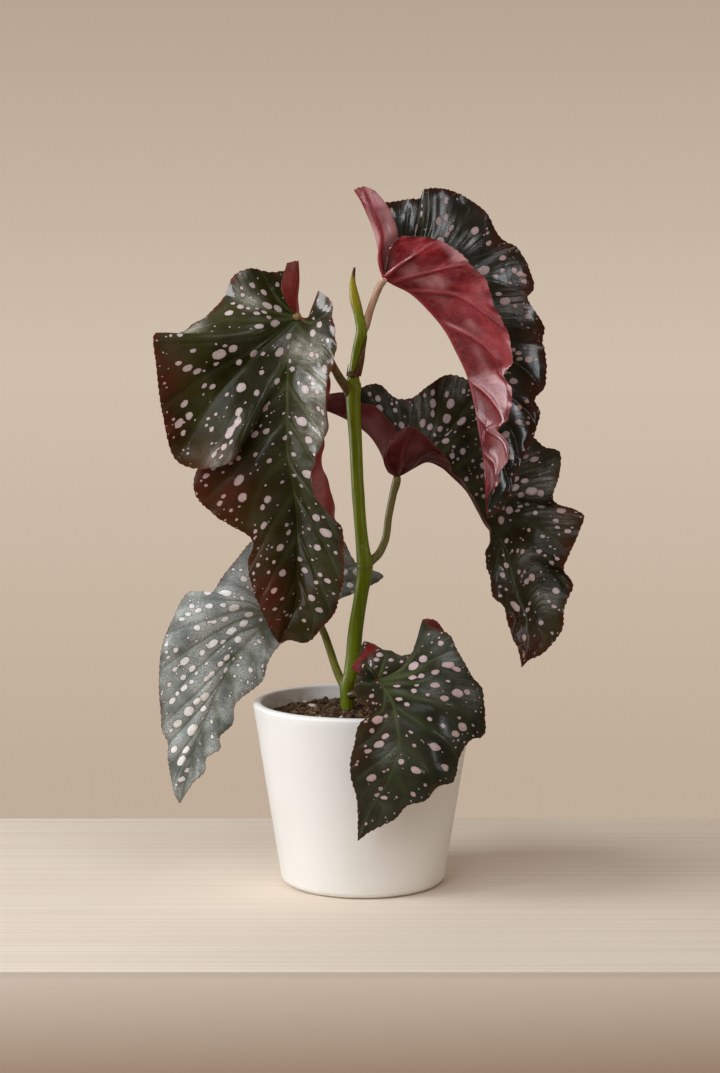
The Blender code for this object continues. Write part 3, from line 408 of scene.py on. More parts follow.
            (0.72, [(-41, -18, -79), (-38, -19, -83)]),
            (0.78, [(-42, -19, -85), (-38, -21, -89)]),
            (0.88, [(-46, -21, -95), (-45, -22, -96)]),
        ],
    },
    "leaf_lower_right": {
        "joint": (8, -50, 128),
        "midrib": [(0, 0, 0), (5, -10, -5), (9, -19, -11), (11, -26, -21), (12, -30, -32),
                   (9, -32, -43), (6, -33, -51), (-1, -32, -62), (-11, -26, -87)],
        "left": [
            (0, [(-1, -4, 8), (-2, -1, 13), (-3, 4, 16)]),
            (0, [(-2, -2, 5), (-6, 1, 10)]),
            (0, [(-5, -6, 2), (-10, -6, 6)]),
            (0, [(-5, -10, -2), (-13, -14, -3)]),
            (0, [(-4, -12, -4), (-11, -20, -8)]),
            (0.08, [(-1, -15, -7), (-6, -23, -11)]),
            (0.16, [(3, -21, -14), (-5, -25, -16)]),
            (0.24, [(1, -25, -18), (-10, -28, -20)]),
            (0.34, [(0, -29, -28), (-13, -32, -31)]),
            (0.44, [(-1, -32, -37), (-15, -35, -39)]),
            (0.54, [(-3, -34, -45), (-15, -36, -48)]),
            (0.66, [(-4, -34, -55), (-12, -35, -59)]),
            (0.8, [(-6, -31, -67), (-11, -31, -71)]),
            (0.92, [(-9, -27, -78), (-11, -27, -80)]),
        ],
        "right": [
            (0, [(-3, 7, 1), (-7, 16, 1), (-11, 21, 1)]),
            (0, [(-4, 9, 4), (-11, 22, 6), (-15, 27, 3)]),
            (0, [(-2, 11, 6), (-5, 25, 11), (-10, 32, 10)]),
            (0, [(0, 13, 7), (-1, 27, 12), (-7, 37, 17)]),
            (0, [(2, 14, 7), (3, 23, 11), (1, 33, 14)]),
            (0, [(6, 13, 6), (8, 21, 9), (8, 30, 12)]),
            (0, [(10, 12, 5), (13, 19, 8), (15, 28, 10)]),
            (0, [(13, 11, 3), (19, 18, 8), (23, 28, 11)]),
            (0, [(17, 10, 3), (28, 22, 11), (40, 31, 19)]),
            (0, [(15, 8, 5), (26, 20, 17), (35, 27, 30)]),
            (0, [(14, 4, 6), (21, 13, 15), (27, 21, 32)]),
            (0, [(15, 1, 6), (25, 7, 16), (32, 14, 28)]),
            (0, [(18, -1, 5), (30, 4, 15), (41, 9, 25)]),
            (0, [(20, -4, 4), (33, 2, 11), (46, 6, 16)]),
            (0, [(22, -7, 2), (38, -2, 5), (54, 4, 2)]),
            (0.08, [(24, -12, -2), (41, -6, -1), (59, 2, -4)]),
            (0.16, [(30, -17, -10), (61, -2, -16)]),
            (0.25, [(32, -21, -19), (60, -7, -31)]),
            (0.31, [(29, -24, -24), (53, -13, -32)]),
            (0.38, [(29, -27, -32), (46, -19, -41)]),
            (0.46, [(28, -30, -43), (42, -25, -54)]),
            (0.53, [(24, -32, -47), (35, -28, -55)]),
            (0.6, [(17, -33, -55), (25, -30, -64)]),
            (0.67, [(14, -33, -58), (18, -31, -65)]),
            (0.75, [(8, -33, -64), (10, -31, -73)]),
            (0.85, [(0, -31, -69), (2, -29, -78)]),
            (0.93, [(-7, -28, -79), (-5, -27, -82)]),
        ],
    },
}


# Curves

def smooth_curve(stations, points, at):
    """Read a cubic curve, which passes through the points at their stations, at other ones."""
    stations, points, at = (np.asarray(a, float) for a in (stations, points, at))
    slopes = np.gradient(points, stations, axis=0)
    first = np.clip(np.searchsorted(stations, at, side="right") - 1, 0, len(stations) - 2)
    shape = (len(at),) + (1,) * (points.ndim - 1)
    span = (stations[first + 1] - stations[first]).reshape(shape)
    t = (at - stations[first]).reshape(shape) / span
    return ((1 + 2 * t) * (1 - t) ** 2 * points[first] + t * (1 - t) ** 2 * span * slopes[first]
            + t * t * (3 - 2 * t) * points[first + 1]
            - t * t * (1 - t) * span * slopes[first + 1])


def along(points):
    """Share of the whole length at which each point of a line lies."""
    steps = np.linalg.norm(np.diff(np.asarray(points, float)[:, :3], axis=0), axis=1)
    return np.concatenate([[0.0], np.cumsum(steps)]) / steps.sum()


def read_line(points, at):
    return smooth_curve(along(points), points, at)


def path_length(points, axis=0):
    """Length from the start to each point, along one axis of a grid of points."""
    steps = np.linalg.norm(np.diff(points, axis=axis), axis=-1)
    start = np.zeros_like(np.take(steps, [0], axis=axis))
    return np.concatenate([start, np.cumsum(steps, axis=axis)], axis=axis)


def unit(vectors):
    return vectors / np.maximum(np.linalg.norm(vectors, axis=-1, keepdims=True), 1e-9)


def bumps(points, size, seed=0.0):
    """Smooth noise at each point, about -1 to 1, with features of a size in millimetres."""
    flat = np.asarray(points, float).reshape(-1, 3) / size + seed * 7.31
    values = [noise.noise(Vector(p)) for p in flat]
    return np.array(values).reshape(np.asarray(points).shape[:-1])


# Meshes and pieces

def new_piece(name, points, faces, materials, replaces, face_materials=None):
    """A smooth mesh object, given in millimetres, that rides on the plant's body."""
    mesh = bpy.data.meshes.new(name)
    mesh.from_pydata((np.asarray(points) * MM).tolist(), [], faces)
    for material in materials:
        mesh.materials.append(material)
    if face_materials is not None:
        mesh.polygons.foreach_set("material_index", np.asarray(face_materials, dtype=np.int32))
    mesh.shade_smooth()
    mesh.validate()
    item = bpy.data.objects.new(name, mesh)
    bpy.context.scene.collection.objects.link(item)
    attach(item, "root")
    if replaces:
        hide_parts(replaces)
    return item


def store(item, name, values):
    layer = item.data.attributes.new(name, "FLOAT", "POINT")
    layer.data.foreach_set("value", np.asarray(values, dtype=np.float32).ravel())


def grid_faces(columns, rows, closed, offset=0):
    """Quads of a grid of points, stored column by column."""
    faces = []
    for one in range(columns if closed else columns - 1):
        two = (one + 1) % columns
        for row in range(rows - 1):
            faces.append((offset + one * rows + row, offset + two * rows + row,
                          offset + two * rows + row + 1, offset + one * rows + row + 1))
    return faces


def tube_points(centres, radii, sides, shape=None):
    """Rings about a line. shape gives a factor on the radius for each ring and angle."""
    forward = unit(np.gradient(centres, axis=0))
    side = np.zeros_like(forward)
    last = np.array([1.0, 0.0, 0.0])
    for index, direction in enumerate(forward):
        last = last - direction * np.dot(last, direction)
        last /= np.linalg.norm(last)
        side[index] = last
    other = np.cross(forward, side)
    angles = np.linspace(0, 2 * math.pi, sides, endpoint=False)
    factor = np.ones((len(centres), sides)) if shape is None else shape(angles)
    ring = (side[:, None] * np.cos(angles)[None, :, None]
            + other[:, None] * np.sin(angles)[None, :, None])
    return centres[:, None] + ring * (radii[:, None] * factor)[..., None]


def tube_faces(rings, sides, offset=0):
    """Quads between rings and a fan of triangles on each end, whose tips are stored last."""
    faces = []
    for ring in range(rings - 1):
        low, high = offset + ring * sides, offset + (ring + 1) * sides
        for one in range(sides):
            two = (one + 1) % sides
            faces.append((low + one, low + two, high + two, high + one))
    first, last = offset + rings * sides, offset + rings * sides + 1
    top = offset + (rings - 1) * sides
    for one in range(sides):
        two = (one + 1) % sides
        faces.append((first, offset + two, offset + one))
        faces.append((last, top + one, top + two))
    return faces


def closed_tube(rings):
    """Points and faces of a tube whose ends close on their middles."""
    count, sides = rings.shape[:2]
    ends = np.array([rings[0].mean(axis=0), rings[-1].mean(axis=0)])
    return np.vstack([rings.reshape(-1, 3), ends]), tube_faces(count, sides)


# Materials

class Nodes:
    """Short calls for building a material's nodes."""

    def __init__(self, name):
        self.material = bpy.data.materials.new(name)
        self.material.use_nodes = True
        self.tree = self.material.node_tree
        self.shader = self.tree.nodes["Principled BSDF"]

    def set(self, **values):
        for key, value in values.items():
            self.shader.inputs[key.replace("_", " ")].default_value = value

    def link(self, source, target):
        self.tree.links.new(source, target)

    def into(self, socket, value):
        if isinstance(value, bpy.types.NodeSocket):
            self.link(value, socket)
        elif isinstance(value, tuple) and len(value) == 3 and socket.type == "RGBA":
            socket.default_value = value + (1.0,)
        else:
            socket.default_value = value

    def attribute(self, name):
        node = self.tree.nodes.new("ShaderNodeAttribute")
        node.attribute_name = name
        return node.outputs["Fac"]

    def place(self):
        return self.tree.nodes.new("ShaderNodeTexCoord").outputs["Object"]

    def height(self):
        node = self.tree.nodes.new("ShaderNodeSeparateXYZ")
        self.link(self.place(), node.inputs[0])
        return node.outputs["Z"]

    def stretched(self, scale):
        node = self.tree.nodes.new("ShaderNodeMapping")
        self.link(self.place(), node.inputs["Vector"])
        node.inputs["Scale"].default_value = scale
        return node.outputs["Vector"]

    def rays(self, along, aside):
        """Coordinates that stretch a pattern along the veins, from the joint to the edge."""
        node = self.tree.nodes.new("ShaderNodeCombineXYZ")
        self.link(self.math("MULTIPLY", self.attribute("ray"), aside), node.inputs["X"])
        self.link(self.math("MULTIPLY", self.attribute("out"), along), node.inputs["Y"])
        return node.outputs["Vector"]

    def noise(self, scale, detail=2.0, where=None, rough=0.5):
        node = self.tree.nodes.new("ShaderNodeTexNoise")
        self.link(where or self.place(), node.inputs["Vector"])
        node.inputs["Scale"].default_value = scale
        node.inputs["Detail"].default_value = detail
        node.inputs["Roughness"].default_value = rough
        return node.outputs["Fac"]

    def cells(self, scale, feature="F1", where=None):
        node = self.tree.nodes.new("ShaderNodeTexVoronoi")
        node.feature = feature
        self.link(where or self.place(), node.inputs["Vector"])
        node.inputs["Scale"].default_value = scale
        return node.outputs["Distance"]

    def span(self, value, low, high, to_low=0.0, to_high=1.0, smooth=True):
        node = self.tree.nodes.new("ShaderNodeMapRange")
        node.interpolation_type = "SMOOTHSTEP" if smooth else "LINEAR"
        self.link(value, node.inputs["Value"])
        for key, number in zip(("From Min", "From Max", "To Min", "To Max"),
                               (low, high, to_low, to_high)):
            node.inputs[key].default_value = number
        return node.outputs["Result"]

    def math(self, operation, one, two=0.0, clamp=False):
        node = self.tree.nodes.new("ShaderNodeMath")
        node.operation = operation
        node.use_clamp = clamp
        self.into(node.inputs[0], one)
        self.into(node.inputs[1], two)
        return node.outputs[0]

    def mix(self, share, one, two, blend="MIX"):
        node = self.tree.nodes.new("ShaderNodeMix")
        node.data_type = "RGBA"
        node.blend_type = blend
        self.into(node.inputs[0], share)
        self.into(node.inputs[6], one)
        self.into(node.inputs[7], two)
        return node.outputs[2]

    def bump(self, height, strength, distance_mm, normal=None):
        node = self.tree.nodes.new("ShaderNodeBump")
        node.inputs["Strength"].default_value = strength
        node.inputs["Distance"].default_value = distance_mm * MM
        self.link(height, node.inputs["Height"])
        if normal:
            self.link(normal, node.inputs["Normal"])
        return node.outputs["Normal"]

    def finish(self, colour, roughness=None, normal=None):
        self.into(self.shader.inputs["Base Color"], colour)
        if roughness is not None:
            self.into(self.shader.inputs["Roughness"], roughness)
        if normal is not None:
            self.link(normal, self.shader.inputs["Normal"])
        return self.material


def leaf_upper_material(name, look):
    """Dark glossy green with pale spots, red-brown places partly painted as glow of light shining through, a
    painted silvery sheen at the pale places, and a thin pale edge.
    """
    n = Nodes(name + "_upper")
    broad = n.span(n.noise(38, 3), 0.35, 0.68)
    grain = n.noise(1500, 2)
    colour = n.mix(broad, look["dark"], look["light"])
    colour = n.mix(n.span(n.noise(170, 3), 0.3, 0.75, 0.0, 0.45), colour, look["light"])
    streak = n.noise(1.0, 3, n.rays(0.055, 0.42))
    colour = n.mix(n.span(streak, 0.35, 0.75, 0.0, 0.30), colour, look["light"])
    silver = n.math("MULTIPLY", n.span(n.noise(60, 3), 0.3, 0.7), look["silver"])
    silver = n.math("MULTIPLY", silver, n.span(grain, 0.35, 0.7, 0.35, 1.0))
    # Painted silvery sheen at the pale places, broken up by noise, streaks and grain.
    painted_silver_sheen = n.math("MULTIPLY", n.attribute("pale"), n.span(n.noise(60, 4), 0.34, 0.60, 0.3, 1.0))
    painted_silver_sheen = n.math("MULTIPLY", painted_silver_sheen, n.span(streak, 0.40, 0.58, look["even"], 1.0))
    painted_silver_sheen = n.math("MULTIPLY", painted_silver_sheen, n.span(grain, 0.32, 0.66, 0.40, 1.0))
    # From here silver holds both the leaf's own silvering and the painted silvery sheen.
    silver = n.math("MAXIMUM", silver, painted_silver_sheen)
    colour = n.mix(silver, colour, look["shine"])
    margin = n.attribute("margin")
    vein = n.attribute("vein")
    # Red-brown places: partly the leaf's own tint and partly painted glow of light shining through. The rim_red
    # edge is the leaf's own colour.
    red = n.math("MULTIPLY", n.attribute("red"), n.span(n.noise(70, 3), 0.25, 0.6, 0.45, 1.0))
    rim_red = n.span(n.math("ADD", margin, n.span(n.noise(90), 0.3, 0.7, 0.0, 4.0)), 1.0, 6.0,
                     0.75 * look["edge"], 0.0)
    colour = n.mix(n.math("MAXIMUM", red, rim_red), colour, look["russet"])
    main = n.attribute("main_vein")
    colour = n.mix(n.math("MULTIPLY", vein, look.get("line", 0.07)), colour, (0.075, 0.088, 0.040))
    colour = n.mix(n.math("MULTIPLY", main, 0.55), colour, (0.120, 0.140, 0.045))
    wobble = n.span(n.noise(420, 2), 0.25, 0.75, -0.32, 0.32, smooth=False)
    spot = n.math("ADD", n.attribute("spot"), wobble)
    ring = n.math("MULTIPLY", n.span(spot, 0.0, 0.55, 1.0, 0.0), 0.6)
    colour = n.mix(ring, colour, (0.012, 0.010, 0.007))
    pale = n.mix(n.span(n.noise(520, 3), 0.3, 0.7), look["spot"],
                 tuple(0.82 * c for c in look["spot"]))
    pale = n.mix(n.span(spot, -1.4, -0.1, 0.0, 0.35), pale,
                 tuple(f * c for f, c in zip((0.72, 0.56, 0.56), look["spot"])))
    inside = n.span(spot, -0.18, 0.1, 1.0, 0.0)
    pale = n.mix(n.math("MULTIPLY", n.attribute("red"), 0.6), pale, (0.42, 0.17, 0.12))
    colour = n.mix(inside, colour, pale)
    specks = n.span(n.cells(210), 0.045, 0.085, 0.75, 0.0)
    specks = n.math("MULTIPLY", specks, n.span(n.noise(30, 2), 0.50, 0.58))
    colour = n.mix(n.math("MULTIPLY", specks, n.span(vein, 0.2, 0.5, 1.0, 0.0)), colour, look["spot"])
    colour = n.mix(n.span(margin, 0.16, 0.5, 0.8, 0.0), colour, (0.115, 0.036, 0.018))
    colour = n.mix(n.span(n.attribute("fold"), 0.3, 0.6), colour, look["under"][1])
    fine = n.bump(n.cells(1050), 0.25, 0.10)
    fine = n.bump(grain, 0.25, 0.06, fine)
    fine = n.bump(streak, 0.22, 0.35, fine)
    fine = n.bump(n.noise(170, 3), 0.30, 0.4, fine)
    fine = n.bump(n.span(spot, -0.3, 0.2, 1.0, 0.0), 0.35, 0.08, fine)
    dull = n.math("SUBTRACT", 1.0, n.math("MULTIPLY", n.attribute("red"), 0.6))
    patchy = n.span(n.noise(24, 2), 0.35, 0.6, 0.45, 1.0)
    wax = n.math("MULTIPLY", n.math("MULTIPLY", dull, patchy), look["gloss"])
    n.into(n.shader.inputs["Coat Weight"], wax)
    n.set(Coat_Roughness=0.17, Specular_IOR_Level=0.04)
    waves = n.bump(streak, 0.25, 0.4, n.bump(grain, 0.3, 0.08))
    waves = n.bump(n.noise(120, 3), 0.35, 0.5, waves)
    n.into(n.shader.inputs["Coat Normal"], n.bump(n.noise(45, 2), 0.5, 1.6, waves))
    rough = n.span(n.noise(55, 2), 0.3, 0.7, look["rough"], look["rough"] + 0.12)
    rough = n.math("ADD", rough, n.math("MULTIPLY", inside, 0.14))
    return n.finish(colour, rough, fine)


def leaf_under_material(name, look):
    """Crimson underside with a pink satin sheen, partly from the coat and partly painted, painted shade near the
    midrib and beside the veins, raised veins and a net of fine ones.
    """
    n = Nodes(name + "_under")
    broad = n.span(n.noise(34, 3), 0.34, 0.66)
    streak = n.noise(1.0, 3, n.rays(0.05, 0.36))
    dark, middle, bright = look["under"]
    colour = n.mix(broad, dark, middle)
    # Painted shade: darker towards the midrib and the joint.
    inner = n.span(n.attribute("out"), 3.0, 26.0, 0.75, 0.0, smooth=False)
    colour = n.mix(inner, colour, tuple(0.85 * c for c in dark))
    colour = n.mix(n.span(streak, 0.35, 0.75, 0.0, 0.35), colour, bright)
    colour = n.mix(n.span(n.noise(150, 3), 0.35, 0.75, 0.0, 0.3), colour, bright)
    vein = n.attribute("vein")
    main = n.attribute("main_vein")
    # Painted pinkish-white sheen on the middles of the panels between veins, away from the midrib.
    painted_pink_sheen = n.math("MULTIPLY", n.span(n.noise(26, 3), 0.40, 0.60), n.span(n.attribute("panel"), 0.15, 0.9))
    painted_pink_sheen = n.math("MULTIPLY", painted_pink_sheen, n.span(n.attribute("out"), 6.0, 24.0))
    colour = n.mix(n.math("MULTIPLY", painted_pink_sheen, look["painted_pink_sheen"]), colour, (0.62, 0.34, 0.34))
    # Painted shade beside the veins, where each panel dips.
    painted_vein_shade = n.math("MULTIPLY", n.span(n.attribute("panel"), 0.0, 0.55, 0.7, 0.0), n.span(n.noise(40, 2), 0.4, 0.6))
    colour = n.mix(painted_vein_shade, colour, tuple(0.8 * c for c in dark))
    net = n.span(n.cells(235, "DISTANCE_TO_EDGE"), 0.0, 0.09, 1.0, 0.0)
    pale = tuple(min(1.0, 1.5 * c + 0.02) for c in bright)
    colour = n.mix(n.math("MULTIPLY", net, 0.14), colour, pale)
    colour = n.mix(n.math("MULTIPLY", vein, 0.22), colour, pale)
    colour = n.mix(n.math("MULTIPLY", main, 0.4), colour, pale)
    spot = n.span(n.attribute("spot"), -0.5, 0.7, 0.10, 0.0)
    colour = n.mix(spot, colour, pale)
    colour = n.mix(n.span(n.attribute("margin"), 0.2, 0.7, 0.5, 0.0), colour, (0.20, 0.055, 0.035))
    fine = n.bump(net, 0.3, 0.2)
    fine = n.bump(n.attribute("panel"), 0.6, 1.2, fine)
    fine = n.bump(n.noise(950, 2), 0.25, 0.10, fine)
    fine = n.bump(streak, 0.2, 0.35, fine)
    fine = n.bump(n.noise(150, 3), 0.35, 0.5, fine)
    n.set(Coat_Weight=look["satin"], Coat_Roughness=0.28, Coat_Tint=(1.0, 0.90, 0.91, 1.0),
          Specular_IOR_Level=0.12, Specular_Tint=(1.0, 0.70, 0.74, 1.0))
    rough = n.span(n.noise(70, 2), 0.3, 0.7, 0.36, 0.5)
    return n.finish(colour, rough, fine)


def plant_skin(name, dark, light, marks, rough=0.34):
    """Fleshy cane or stalk: lengthwise streaks and small pale raised marks."""
    n = Nodes(name)
    long = n.noise(1.0, 3, n.stretched((420, 420, 26)))
    colour = n.mix(n.span(long, 0.3, 0.7), dark, light)
    colour = n.mix(n.span(n.noise(45, 3), 0.35, 0.7, 0.0, 0.5), colour, light)
    dots = n.cells(1.0, "F1", n.stretched((330, 330, 120)))
    dots = n.span(dots, 0.10, 0.20, 1.0, 0.0)
    dots = n.math("MULTIPLY", dots, n.span(n.noise(120, 1), 0.5, 0.6))
    colour = n.mix(n.math("MULTIPLY", dots, 0.55), colour, marks)
    fine = n.bump(long, 0.25, 0.18)
    fine = n.bump(dots, 0.5, 0.15, fine)
    fine = n.bump(n.noise(900, 2), 0.18, 0.08, fine)
    n.set(Specular_IOR_Level=0.12)
    return n, colour, fine, n.span(n.noise(80, 2), 0.3, 0.7, rough - 0.05, rough + 0.1)


def stem_material():
    n, colour, fine, rough = plant_skin(
        "cane_green", (0.110, 0.128, 0.0025), (0.185, 0.222, 0.007), (0.36, 0.40, 0.15))
    colour = n.mix(n.span(n.height(), 0.11, 0.24, 0.5, 0.0), colour, (0.050, 0.072, 0.001))
    scar = n.attribute("scar")
    scar = n.math("MULTIPLY", scar, n.span(n.noise(300, 3), 0.3, 0.62))
    colour = n.mix(n.math("MULTIPLY", scar, 0.8), colour, (0.145, 0.085, 0.030))
    bud = n.attribute("bud")
    colour = n.mix(n.math("MULTIPLY", n.span(bud, 0.0, 0.3), 0.75), colour, (0.290, 0.205, 0.010))
    colour = n.mix(n.span(n.math("ADD", bud, n.span(n.noise(200), 0.3, 0.7, -0.07, 0.07)),
                          0.80, 0.93), colour, (0.050, 0.014, 0.008))
    return n.finish(colour, rough, fine)


def stalk_material(name, colours):
    n, colour, fine, rough = plant_skin(
        "stalk_" + name, colours[0], colours[1], tuple(min(1.0, 1.5 * c) for c in colours[1]))
    end = n.attribute("end")
    lumps = n.span(n.noise(650, 3), 0.35, 0.65)
    tip = tuple(min(1.0, 1.5 * c + 0.03) for c in colours[1])
    colour = n.mix(n.math("MULTIPLY", end, lumps), colour, tip)
    fine = n.bump(n.math("MULTIPLY", lumps, end), 0.6, 0.3, fine)
    return n.finish(colour, rough, fine)


def sheath_material():
    n = Nodes("sheath_papery")
    long = n.noise(1.0, 4, n.stretched((700, 700, 60)))
    colour = n.mix(n.span(long, 0.3, 0.7), (0.050, 0.014, 0.005), (0.170, 0.072, 0.020))
    colour = n.mix(n.span(n.noise(160, 4), 0.5, 0.72, 0.0, 0.7), colour, (0.24, 0.125, 0.062))
    fine = n.bump(long, 0.6, 0.3)
    fine = n.bump(n.noise(800, 3), 0.4, 0.12, fine)
    n.set(Specular_IOR_Level=0.12, Sheen_Weight=0.05)
    return n.finish(colour, n.span(n.noise(200), 0.3, 0.7, 0.5, 0.75), fine)


def pot_material():
    """White satin glaze with a faint unevenness, a few specks and a brownish tint inside the rim that grows
    towards the soil.
    """
    n = Nodes("pot_glaze")
    colour = n.mix(n.span(n.noise(14, 3), 0.3, 0.7), (0.80, 0.775, 0.735), (0.84, 0.82, 0.785))
    specks = n.cells(420)
    specks = n.math("MULTIPLY", n.span(specks, 0.06, 0.12, 1.0, 0.0),
                    n.span(n.noise(95, 1), 0.60, 0.66))
    colour = n.mix(n.math("MULTIPLY", specks, 0.35), colour, (0.45, 0.38, 0.30))
    # Brownish tint on the inner wall, growing from the rim down towards the soil.
    inside_tint = n.math("MULTIPLY", n.attribute("inside"), n.span(n.noise(190, 4), 0.42, 0.72))
    colour = n.mix(n.math("MULTIPLY", inside_tint, 0.55), colour, (0.17, 0.105, 0.06))
    foot = n.math("MULTIPLY", n.attribute("foot"), n.span(n.noise(60, 3), 0.35, 0.7))
    colour = n.mix(n.math("MULTIPLY", foot, 0.25), colour, (0.55, 0.48, 0.40))
    fine = n.bump(n.noise(85, 2), 0.10, 0.5)
    fine = n.bump(n.noise(1100, 2), 0.10, 0.06, fine)
    fine = n.bump(n.noise(1.0, 2, n.stretched((6, 6, 520))), 0.06, 0.2, fine)
    n.set(Coat_Weight=0.18, Coat_Roughness=0.25, Specular_IOR_Level=0.45)
    return n.finish(colour, n.span(n.noise(40, 2), 0.3, 0.7, 0.40, 0.52), fine)


def soil_material():
    n = Nodes("soil_dark")
    colour = n.mix(n.span(n.noise(240, 5), 0.3, 0.7), (0.010, 0.005, 0.0025), (0.090, 0.048, 0.019))
    colour = n.mix(n.span(n.noise(900, 3), 0.52, 0.68, 0.0, 0.8), colour, (0.210, 0.135, 0.070))
    fine = n.bump(n.noise(420, 5), 0.9, 0.8)
    fine = n.bump(n.noise(1700, 3), 0.7, 0.2, fine)
    n.set(Specular_IOR_Level=0.25)
    return n.finish(colour, 0.92, fine)


def bark_material():
    n = Nodes("soil_bark")
    colour = n.mix(n.span(n.noise(310, 4), 0.3, 0.7), (0.050, 0.024, 0.012), (0.185, 0.105, 0.055))
    fine = n.bump(n.noise(900, 4), 0.8, 0.25)
    n.set(Specular_IOR_Level=0.3)
    return n.finish(colour, 0.85, fine)


def perlite_material():
    n = Nodes("soil_perlite")
    colour = n.mix(n.span(n.noise(700, 4), 0.35, 0.7), (0.44, 0.37, 0.27), (0.72, 0.66, 0.55))
    fine = n.bump(n.noise(1300, 4), 0.8, 0.25)
    n.set(Specular_IOR_Level=0.3)
    return n.finish(colour, 0.9, fine)


# Pot

def inner_radius(height):
    slope = (RIM_RADIUS - WALL_BASE_RADIUS) / POT_HEIGHT
    return WALL_BASE_RADIUS + slope * height - WALL


def quarter(centre_x, centre_z, radius, start, end, steps=10):
    angles = np.radians(np.linspace(start, end, steps + 1))
    return [(centre_x + radius * math.cos(a), centre_z + radius * math.sin(a)) for a in angles]


def make_pot():
    lip_z = POT_HEIGHT - LIP_ROUNDING
    inside = [(inner_radius(FLOOR) - 3.0, FLOOR), (inner_radius(FLOOR + 3.0), FLOOR + 3.0)]
    lip = quarter(inner_radius(POT_HEIGHT) + LIP_ROUNDING, lip_z, LIP_ROUNDING, 180, 90)
    lip += quarter(RIM_RADIUS - LIP_ROUNDING, lip_z, LIP_ROUNDING, 90, 0)
    foot_x = WALL_BASE_RADIUS + 0.7 - FOOT_ROUNDING
    foot = quarter(foot_x, FOOT_ROUNDING, FOOT_ROUNDING, 0, -90)
    profile = []
    for start, end, steps in ((inside[1], lip[0], 14), (lip[-1], foot[0], 30)):
        share = np.linspace(0, 1, steps + 1)[1:-1]
        profile.append([tuple(np.add(start, s * np.subtract(end, start))) for s in share])
    line = np.array(inside + profile[0] + lip + profile[1] + foot + [(foot_x * 0.5, 0.0)])
    sides = 200
    angles = np.linspace(0, 2 * math.pi, sides, endpoint=False)
    waver = 1 + 0.0012 * np.sin(2 * angles + 0.7) + 0.0007 * np.sin(5 * angles + 2.0)
    x = line[:, 0][None] * np.cos(angles)[:, None] * waver[:, None]
    y = line[:, 0][None] * np.sin(angles)[:, None] * waver[:, None]
    points = np.stack([x, y, np.broadcast_to(line[:, 1], x.shape)], -1)
    rows = len(line)
    faces = grid_faces(sides, rows, closed=True)
    faces = [face[::-1] for face in faces]
    floor, base = sides * rows, sides * rows + 1
    faces += [(floor, i * rows, (i + 1) % sides * rows) for i in range(sides)]
    faces += [(base, (i + 1) % sides * rows + rows - 1, i * rows + rows - 1) for i in range(sides)]
    points = np.vstack([points.reshape(-1, 3), [[0, 0, FLOOR], [0, 0, 0]]])
    pot = new_piece("pot_glazed", points, faces, [pot_material()], "pot")
    radius = np.hypot(points[:, 0], points[:, 1])
    inner = radius < WALL_BASE_RADIUS + (RIM_RADIUS - WALL_BASE_RADIUS) * points[:, 2] / 108 - 3.5
    # How strong the brownish inside tint is, growing from the rim down towards the soil.
    towards_soil = np.clip((106.5 - points[:, 2]) / 6, 0, 1)
    store(pot, "inside", inner * towards_soil)
    store(pot, "foot", np.clip(1 - points[:, 2] / 9, 0, 1))


# Soil

def soil_height(x, y):
    coarse = noise.noise(Vector((x / 11.0, y / 11.0, 3.0)))
    middle = noise.noise(Vector((x / 5.0, y / 5.0, 8.0)))
    fine = noise.noise(Vector((x / 2.1, y / 2.1, 1.0)))
    mound = 3.4 * (1 - (math.hypot(x, y) / 54.0) ** 2)
    return SOIL_TOP + mound + 2.2 * (coarse + 0.6 * middle) + 0.8 * fine


def blob(centre, size, seed, rings=5, sides=8, lump=0.3):
    """A small uneven lump: squashed ball whose points are moved by noise."""
    polar = np.linspace(0.001, math.pi - 0.001, rings + 1)[1:-1]
    turn = np.linspace(0, 2 * math.pi, sides, endpoint=False)
    body = [(math.sin(p) * math.cos(a), math.sin(p) * math.sin(a), math.cos(p))
            for p in polar for a in turn]
    points = np.array(body + [(0, 0, 1), (0, 0, -1)])
    points *= 1 + lump * bumps(points, 0.55, seed)[:, None]
    ring_count = len(polar)
    faces = []
    for ring in range(ring_count - 1):
        for one in range(sides):
            two = (one + 1) % sides
            faces.append((ring * sides + one, (ring + 1) * sides + one,
                          (ring + 1) * sides + two, ring * sides + two))
    top, bottom = ring_count * sides, ring_count * sides + 1
    low = (ring_count - 1) * sides
    for one in range(sides):
        two = (one + 1) % sides
        faces.append((top, one, two))
        faces.append((bottom, low + two, low + one))
    return points * np.asarray(size) + centre, faces


def turned_about(points, centre, angle, tilt):
    """Turn points about a centre: first tilted about X, then round Z."""
    p = points - centre
    y = p[:, 1] * math.cos(tilt) - p[:, 2] * math.sin(tilt)
    z = p[:, 1] * math.sin(tilt) + p[:, 2] * math.cos(tilt)
    x = p[:, 0] * math.cos(angle) - y * math.sin(angle)
    y = p[:, 0] * math.sin(angle) + y * math.cos(angle)
    return np.stack([x, y, z], -1) + centre


def scatter(draw, count, reach):
    """Random places on the soil, clear of the wall by reach."""
    radius = (inner_radius(SOIL_TOP) - 0.6 - reach) * np.sqrt(draw.random(count))
    angle = draw.random(count) * 2 * math.pi
    return radius * np.cos(angle), radius * np.sin(angle)


